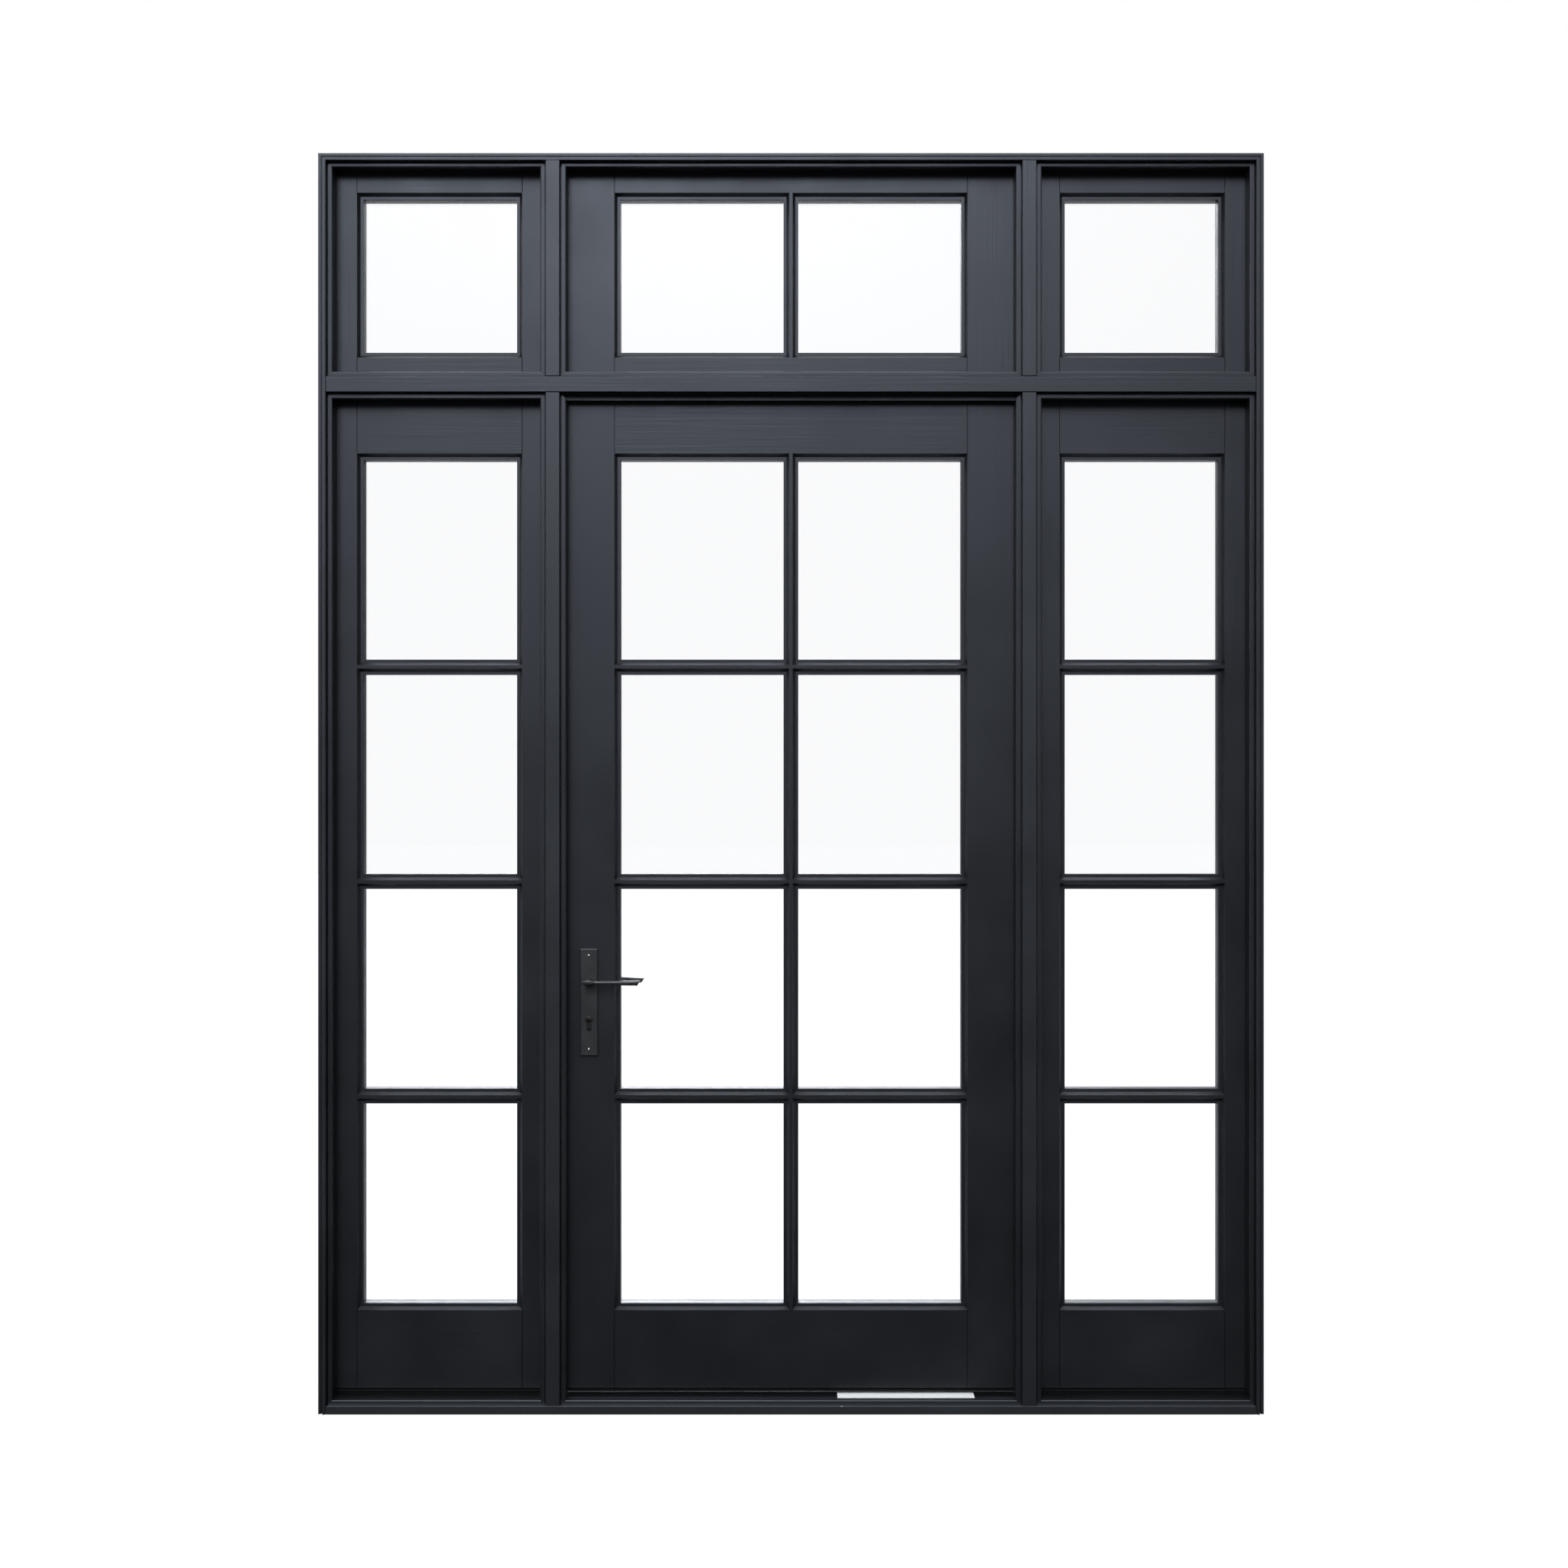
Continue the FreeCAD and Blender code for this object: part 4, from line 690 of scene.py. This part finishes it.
class UNIT_OT_make_levers(bpy.types.Operator):
    """Model the two levers: a round neck, an oval hub and a slim arm with a raked end"""

    bl_idname = "entrance.make_levers"
    bl_label = "Make Levers"

    def execute(self, context):
        settings = context.scene.entrance_hardware
        plate_low, plate_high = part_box("handle_plates")
        lever_low, lever_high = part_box("levers")
        x = settings.backset
        z = settings.spindle_height
        front = lever_low.y
        back = front + settings.lever_thickness
        tip = lever_high.x
        near_tip = tip - 2.0 * settings.lever_round
        # The hub is a little proud of the arm, sits a little higher and ends short of its back.
        hub_proud, hub_lift, hub_short = 0.2 * MM, 0.9 * MM, 0.3 * MM
        tip_round, hub_round = 1.0 * MM, 2.4 * MM
        # The neck runs this far into the plate and into the arm.
        neck_bite = 2.0 * MM

        arm = block((x, front + hub_proud, z - settings.lever_root_down),
                    (tip, back, z + settings.lever_root_up))
        edit(arm)
        for test, move in (
                (lambda at, way: at.x > near_tip and at.z > z,
                 (0.0, 0.0, settings.lever_tip_up - settings.lever_root_up)),
                (lambda at, way: at.x > near_tip and at.z < z,
                 (-settings.lever_rake, 0.0, settings.lever_root_down - settings.lever_tip_down))):
            pick("VERT", test)
            bpy.ops.transform.translate(value=move)
        pick("EDGE", lambda at, way: abs(way.x) > 0.9)
        bpy.ops.mesh.bevel(offset=settings.lever_round, segments=6, profile=0.5)
        pick("FACE", lambda at, way: way.x > 0.7)
        bpy.ops.mesh.region_to_loop()
        bpy.ops.mesh.bevel(offset=tip_round, segments=3, profile=0.5)
        # Short faces along the arm keep the union below free of slivers.
        pick("EDGE", lambda at, way: abs(way.x) > 0.9)
        bpy.ops.mesh.subdivide(number_cuts=9)
        arm = done()

        middle = (lever_low.x + settings.hub_width / 2.0, front, z + hub_lift)
        barrel = rod((middle[0], back - hub_short, middle[2]), middle, settings.hub_height / 2.0, sides=48)
        edit(barrel)
        bpy.ops.mesh.select_all(action="SELECT")
        bpy.ops.transform.resize(value=(settings.hub_width / settings.hub_height, 1.0, 1.0),
                                 center_override=middle)
        pick("EDGE", lambda at, way: abs(at.y - front) < 0.1 * MM)
        bpy.ops.mesh.bevel(offset=hub_round, segments=5, profile=0.5)
        arm = combine(arm, done(), "UNION")

        neck_r = settings.neck_width / 2.0
        leaf_middle = (0.0, (plate_low.y + plate_high.y) / 2.0, 0.0)
        levers = []
        for droop, inside in ((0.0, False), (settings.lever_droop, True)):
            lever = copied(arm, (0.0, 0.0, 0.0), about((x, 0.0, z), Matrix.Rotation(droop, 4, "Y")))
            neck = rod((x, plate_low.y + neck_bite, z), (x, back - neck_bite, z), neck_r,
                       neck_r - settings.neck_taper / 2.0, 40)
            lever = combine(lever, neck, "UNION")
            if inside:
                lever.data.transform(about(leaf_middle, MIRROR_Y))
            edit(lever)
            levers.append(done())
        bpy.data.objects.remove(arm)
        pair = joined(levers)
        furniture = context.scene.entrance_finish.furniture
        fit(pair, "coated_levers", "lever_set",
            coated_metal("satin_black_coated_lever", furniture, 0.3, 0.8 * MM))
        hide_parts("levers")
        return {"FINISHED"}


class UNIT_OT_make_handle_screws(bpy.types.Operator):
    """Model the bright cross-head screws of the handle plates"""

    bl_idname = "entrance.make_handle_screws"
    bl_label = "Make Handle Screws"

    def execute(self, context):
        settings = context.scene.entrance_hardware
        low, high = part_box("handle_plates")
        head = cross_head(settings)
        screws = []
        for z in (low.z + settings.screw_inset, high.z - settings.screw_inset):
            screws.append(copied(head, (settings.backset, low.y, z)))
            screws.append(copied(head, (settings.backset, high.y, z), Matrix.Rotation(math.pi, 4, "Z")))
        bpy.data.objects.remove(head)
        screws = joined(screws)
        made = brushed_metal("bright_stainless_screw", "ececec", "c0c0c0", 0.22, (500.0, 500.0, 500.0))
        fit(screws, "plate_screws", "door_leaf", made)
        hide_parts("handle_screws")
        return {"FINISHED"}


class UNIT_OT_make_key_cylinder(bpy.types.Operator):
    """Model the double key cylinder, with a round plug and a keyway at each end"""

    bl_idname = "entrance.make_key_cylinder"
    bl_label = "Make Key Cylinder"

    def execute(self, context):
        settings = context.scene.entrance_hardware
        low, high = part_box("key_cylinder")
        x = settings.backset
        radius = (high.x - low.x) / 2.0
        tail = settings.cylinder_tail / 2.0
        z = high.z - radius
        body = rod((x, high.y, z), (x, low.y, z), radius, sides=36)
        body = combine(body, block((x - tail, low.y, low.z + tail), (x + tail, high.y, z)), "UNION")
        foot = rod((x, high.y, low.z + tail), (x, low.y, low.z + tail), tail, sides=28)
        body = combine(body, foot, "UNION")
        body = soften(body, 0.5 * MM, 2, 50.0)
        # The plug sits in a ring cut round it, and the keyway is a slot with a notch to one side.
        plug_r = radius * 0.8
        ring_gap, ring_depth = 0.25 * MM, 0.5 * MM
        plug_depth, plug_set_back = 1.5 * MM, 0.1 * MM
        key_depth = 5.0 * MM
        keyway = ((-0.9 * MM, 0.9 * MM, -4.4 * MM, 3.4 * MM), (-0.3 * MM, 1.7 * MM, -1.0 * MM, 0.6 * MM))
        for face, out in ((low.y, -1.0), (high.y, 1.0)):
            ring = rod((x, face - out * ring_depth, z), (x, face + out * MM, z), plug_r + ring_gap, sides=32)
            body = combine(body, ring, "DIFFERENCE")
            plug = rod((x, face - out * plug_depth, z), (x, face - out * plug_set_back, z), plug_r, sides=32)
            plug = soften(plug, 0.3 * MM, 2, 50.0)
            body = combine(body, plug, "UNION")
            for left, right, down, up in keyway:
                slot = block((x + left, face - key_depth, z + down), (x + right, face + key_depth, z + up))
                body = combine(body, slot, "DIFFERENCE")
        made = brushed_metal("dark_plated_brass", "3b3a37", "282725", 0.42, (300.0, 40.0, 300.0))
        fit(body, "plated_key_cylinder", "door_leaf", made)
        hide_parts("key_cylinder")
        return {"FINISHED"}


class UNIT_OT_make_lock_edge(bpy.types.Operator):
    """Model the lock's faceplate with its latch, bolt and screws, and the strike plate's screws"""

    bl_idname = "entrance.make_lock_edge"
    bl_label = "Make Lock Edge"

    def execute(self, context):
        settings = context.scene.entrance_hardware
        low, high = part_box("lock_faceplate")
        steel = brushed_metal("satin_stainless_lock_front", "b2b2b0", "858585", 0.34, (900.0, 900.0, 12.0))
        middle = (low.y + high.y) / 2.0
        latch_z, bolt_z = settings.spindle_height, settings.spindle_height - settings.cylinder_drop
        # The plate follows the leaf's bevelled edge.
        slope = settings.edge_bevel / settings.leaf_thickness
        lean = slope * (high.y - low.y)
        edge_x = low.x + slope * (high.y - middle)

        plate = block((low.x, low.y, low.z), (high.x - lean, high.y, high.z))
        edit(plate)
        pick("VERT", lambda at, way: at.y < middle)
        bpy.ops.transform.translate(value=(lean, 0.0, 0.0))
        plate = done()
        # Half the width and half the height of the latch and of the bolt.
        latch_half, bolt_half = (6.8 * MM, 10.8 * MM), (5.8 * MM, 16.8 * MM)
        clearance, hole_depth, nose_depth = 0.4 * MM, 2.4 * MM, 2.2 * MM
        for z, (wide, tall) in ((latch_z, latch_half), (bolt_z, bolt_half)):
            hole = block((low.x - MM, middle - wide - clearance, z - tall - clearance),
                         (low.x + hole_depth, middle + wide + clearance, z + tall + clearance))
            plate = combine(plate, hole, "DIFFERENCE")
        plate = soften(plate, 0.25 * MM, 1, 50.0)
        fit(plate, "lock_front", "door_leaf", steel)
        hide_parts("lock_faceplate")

        noses = []
        for z, (wide, tall), proud in ((latch_z, latch_half, 1.2 * MM), (bolt_z, bolt_half, 0.3 * MM)):
            noses.append(block((edge_x - proud, middle - wide, z - tall),
                               (edge_x + nose_depth, middle + wide, z + tall)))
        edit(noses[0])
        pick("EDGE", lambda at, way: abs(way.z) > 0.9 and at.x < edge_x and at.y > middle)
        bpy.ops.mesh.bevel(offset=1.9 * MM, segments=4, profile=0.5)
        done()
        noses = soften(joined(noses), 0.4 * MM, 2, 40.0)
        bright = brushed_metal("nickel_plated_steel", "d0cfca", "a3a29e", 0.26, (60.0, 900.0, 900.0))
        fit(noses, "latch_and_bolt", "door_leaf", bright)

        head = flat_head(3.6 * MM, 2.0 * MM)
        inset = 9.0 * MM
        screws = [copied(head, (edge_x - HEAD_PROUD, middle, z)) for z in (low.z + inset, high.z - inset)]
        fit(joined(screws), "lock_front_screws", "door_leaf", bright)
        low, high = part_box("strike_plate")
        screws = [copied(head, (high.x + HEAD_PROUD, (low.y + high.y) / 2.0, z), MIRROR_X)
                  for z in (low.z + inset, high.z - inset)]
        for screw in screws:
            edit(screw)
            done()
        fit(joined(screws), "strike_screws", "frame", bright)
        bpy.data.objects.remove(head)
        return {"FINISHED"}


class UNIT_OT_make_hinge_screws(bpy.types.Operator):
    """Model the countersunk screws in the hinges' leaves"""

    bl_idname = "entrance.make_hinge_screws"
    bl_label = "Make Hinge Screws"

    def execute(self, context):
        settings = context.scene.entrance_hardware
        bright = brushed_metal("satin_stainless_screw", "c6c6c4", "949494", 0.3, (500.0, 500.0, 500.0))
        head = flat_head(settings.hinge_screw / 2.0, 1.6 * MM)
        low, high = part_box("frame_hinge_leaves")
        half = settings.hinge_height / 2.0
        middles = (low.z + half, (low.z + high.z) / 2.0, high.z - half)
        # Four screws to a leaf: how far in from the frame's back, and up from the hinge's middle.
        places = ((12.0 * MM, 38.0 * MM), (30.0 * MM, 24.0 * MM), (30.0 * MM, -24.0 * MM),
                  (12.0 * MM, -38.0 * MM))
        on_frame, on_door = [], []
        for middle in middles:
            for inset, rise in places:
                y, z = settings.frame_back - inset, middle + rise
                on_frame.append(copied(head, (settings.frame_leaf_face - HEAD_PROUD, y, z)))
                on_door.append(copied(head, (settings.door_leaf_face + HEAD_PROUD, y, z), MIRROR_X))
        for screw in on_door:
            edit(screw)
            done()
        bpy.data.objects.remove(head)
        fit(joined(on_frame), "frame_hinge_screws", "frame", bright)
        fit(joined(on_door), "door_hinge_screws", "door_leaf", bright)
        return {"FINISHED"}


class UNIT_OT_make_seals(bpy.types.Operator):
    """Model the bulb seals in the backs of the door's stops"""

    bl_idname = "entrance.make_seals"
    bl_label = "Make Seals"

    def execute(self, context):
        settings = context.scene.entrance_hardware
        low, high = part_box("door_seals")
        wide, gap = settings.seal_width, settings.seal_gap
        bulb = settings.seal_bulb / 2.0
        bulb_y = high.y + bulb * 0.8
        # The root is clear of its groove's sides and floor, and runs on into the bulb.
        half = wide / 2.0 - 0.3 * MM
        root_y, root_end_y = low.y + 0.2 * MM, high.y + 0.3 * MM
        runs = [((x, low.z), (x, high.z - wide - gap), (half, 0.0))
                for x in (low.x + wide / 2.0, high.x - wide / 2.0)]
        top = high.z - wide / 2.0
        runs.append(((low.x + wide + gap, top), (high.x - wide - gap, top), (0.0, half)))
        pieces = []
        for (x0, z0), (x1, z1), (half_x, half_z) in runs:
            root = block((x0 - half_x, root_y, z0 - half_z), (x1 + half_x, root_end_y, z1 + half_z))
            tube = rod((x0, bulb_y, z0), (x1, bulb_y, z1), bulb, sides=14)
            pieces.append(combine(root, tube, "UNION"))
        seals = joined(pieces)
        fit(seals, "bulb_seals", "frame", black_rubber("black_epdm_rubber"))
        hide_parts("door_seals")
        return {"FINISHED"}


class UNIT_OT_set_stage(bpy.types.Operator):
    """Set the floor, the light and the camera"""

    bl_idname = "entrance.set_stage"
    bl_label = "Set Stage"

    def execute(self, context):
        settings = context.scene.entrance_stage
        scene = context.scene
        scene.view_settings.view_transform = "Standard"

        lens = bpy.data.cameras.new("photo_camera")
        lens.sensor_width = 36.0
        lens.lens = settings.lens
        lens.clip_start = 0.05
        lens.clip_end = 100.0
        lens.dof.use_dof = False
        camera = bpy.data.objects.new("photo_camera", lens)
        camera.location = (settings.camera_across, -settings.camera_back, settings.camera_height)
        camera.rotation_euler = (math.radians(90.0), 0.0, 0.0)
        scene.collection.objects.link(camera)
        scene.camera = camera

        scene.world = studio_world(settings)
        for name, power, size, place, aim in (
                ("soft_box", settings.soft_box_power, (6.6, 4.2), (-0.8, -6.4, 4.4), (0.0, 0.0, 1.9)),
                ("back_fill", settings.back_fill_power, (4.0, 3.0), (0.8, 5.5, 3.6), (0.0, 0.0, 1.3))):
            light = bpy.data.lights.new(name, "AREA")
            light.shape = "RECTANGLE"
            light.size, light.size_y = size
            light.energy = power
            lamp = bpy.data.objects.new(name, light)
            lamp.location = place
            lamp.rotation_euler = (Vector(aim) - Vector(place)).to_track_quat("-Z", "Y").to_euler()
            lamp.visible_camera = False
            lamp.visible_transmission = False
            lamp.visible_glossy = False
            scene.collection.objects.link(lamp)

        bpy.ops.mesh.primitive_plane_add(size=1.0, location=(0.0, 0.0, 0.0))
        floor = context.active_object
        floor.name = "floor"
        floor.scale = (60.0, 60.0, 1.0)
        bpy.ops.object.transform_apply(location=True, rotation=True, scale=True)
        floor.data.materials.append(studio_floor("pale_studio_floor"))
        return {"FINISHED"}


class UNIT_PT_sidebar(bpy.types.Panel):
    """Steps that finish the entrance unit."""

    bl_idname = "UNIT_PT_sidebar"
    bl_label = "Glazed Entrance Unit"
    bl_space_type = "VIEW_3D"
    bl_region_type = "UI"
    bl_category = "Entrance"

    def draw(self, context):
        for operator in OPERATORS:
            self.layout.operator(operator.bl_idname)


OPERATORS = (
    UNIT_OT_paint_timber, UNIT_OT_glaze, UNIT_OT_finish_metalwork, UNIT_OT_make_levers,
    UNIT_OT_make_handle_screws, UNIT_OT_make_key_cylinder, UNIT_OT_make_lock_edge,
    UNIT_OT_make_hinge_screws, UNIT_OT_make_seals, UNIT_OT_set_stage,
)
SETTINGS = {
    "entrance_finish": FinishSettings,
    "entrance_hardware": HardwareSettings,
    "entrance_stage": StageSettings,
}


def register():
    for kind in (*SETTINGS.values(), *OPERATORS, UNIT_PT_sidebar):
        bpy.utils.register_class(kind)
    for name, kind in SETTINGS.items():
        setattr(bpy.types.Scene, name, PointerProperty(type=kind))


def unregister():
    for name in SETTINGS:
        delattr(bpy.types.Scene, name)
    for kind in reversed((*SETTINGS.values(), *OPERATORS, UNIT_PT_sidebar)):
        bpy.utils.unregister_class(kind)


def main():
    register()
    for operator in OPERATORS:
        group, name = operator.bl_idname.split(".")
        getattr(getattr(bpy.ops, group), name)()


if __name__ == "__main__":
    main()
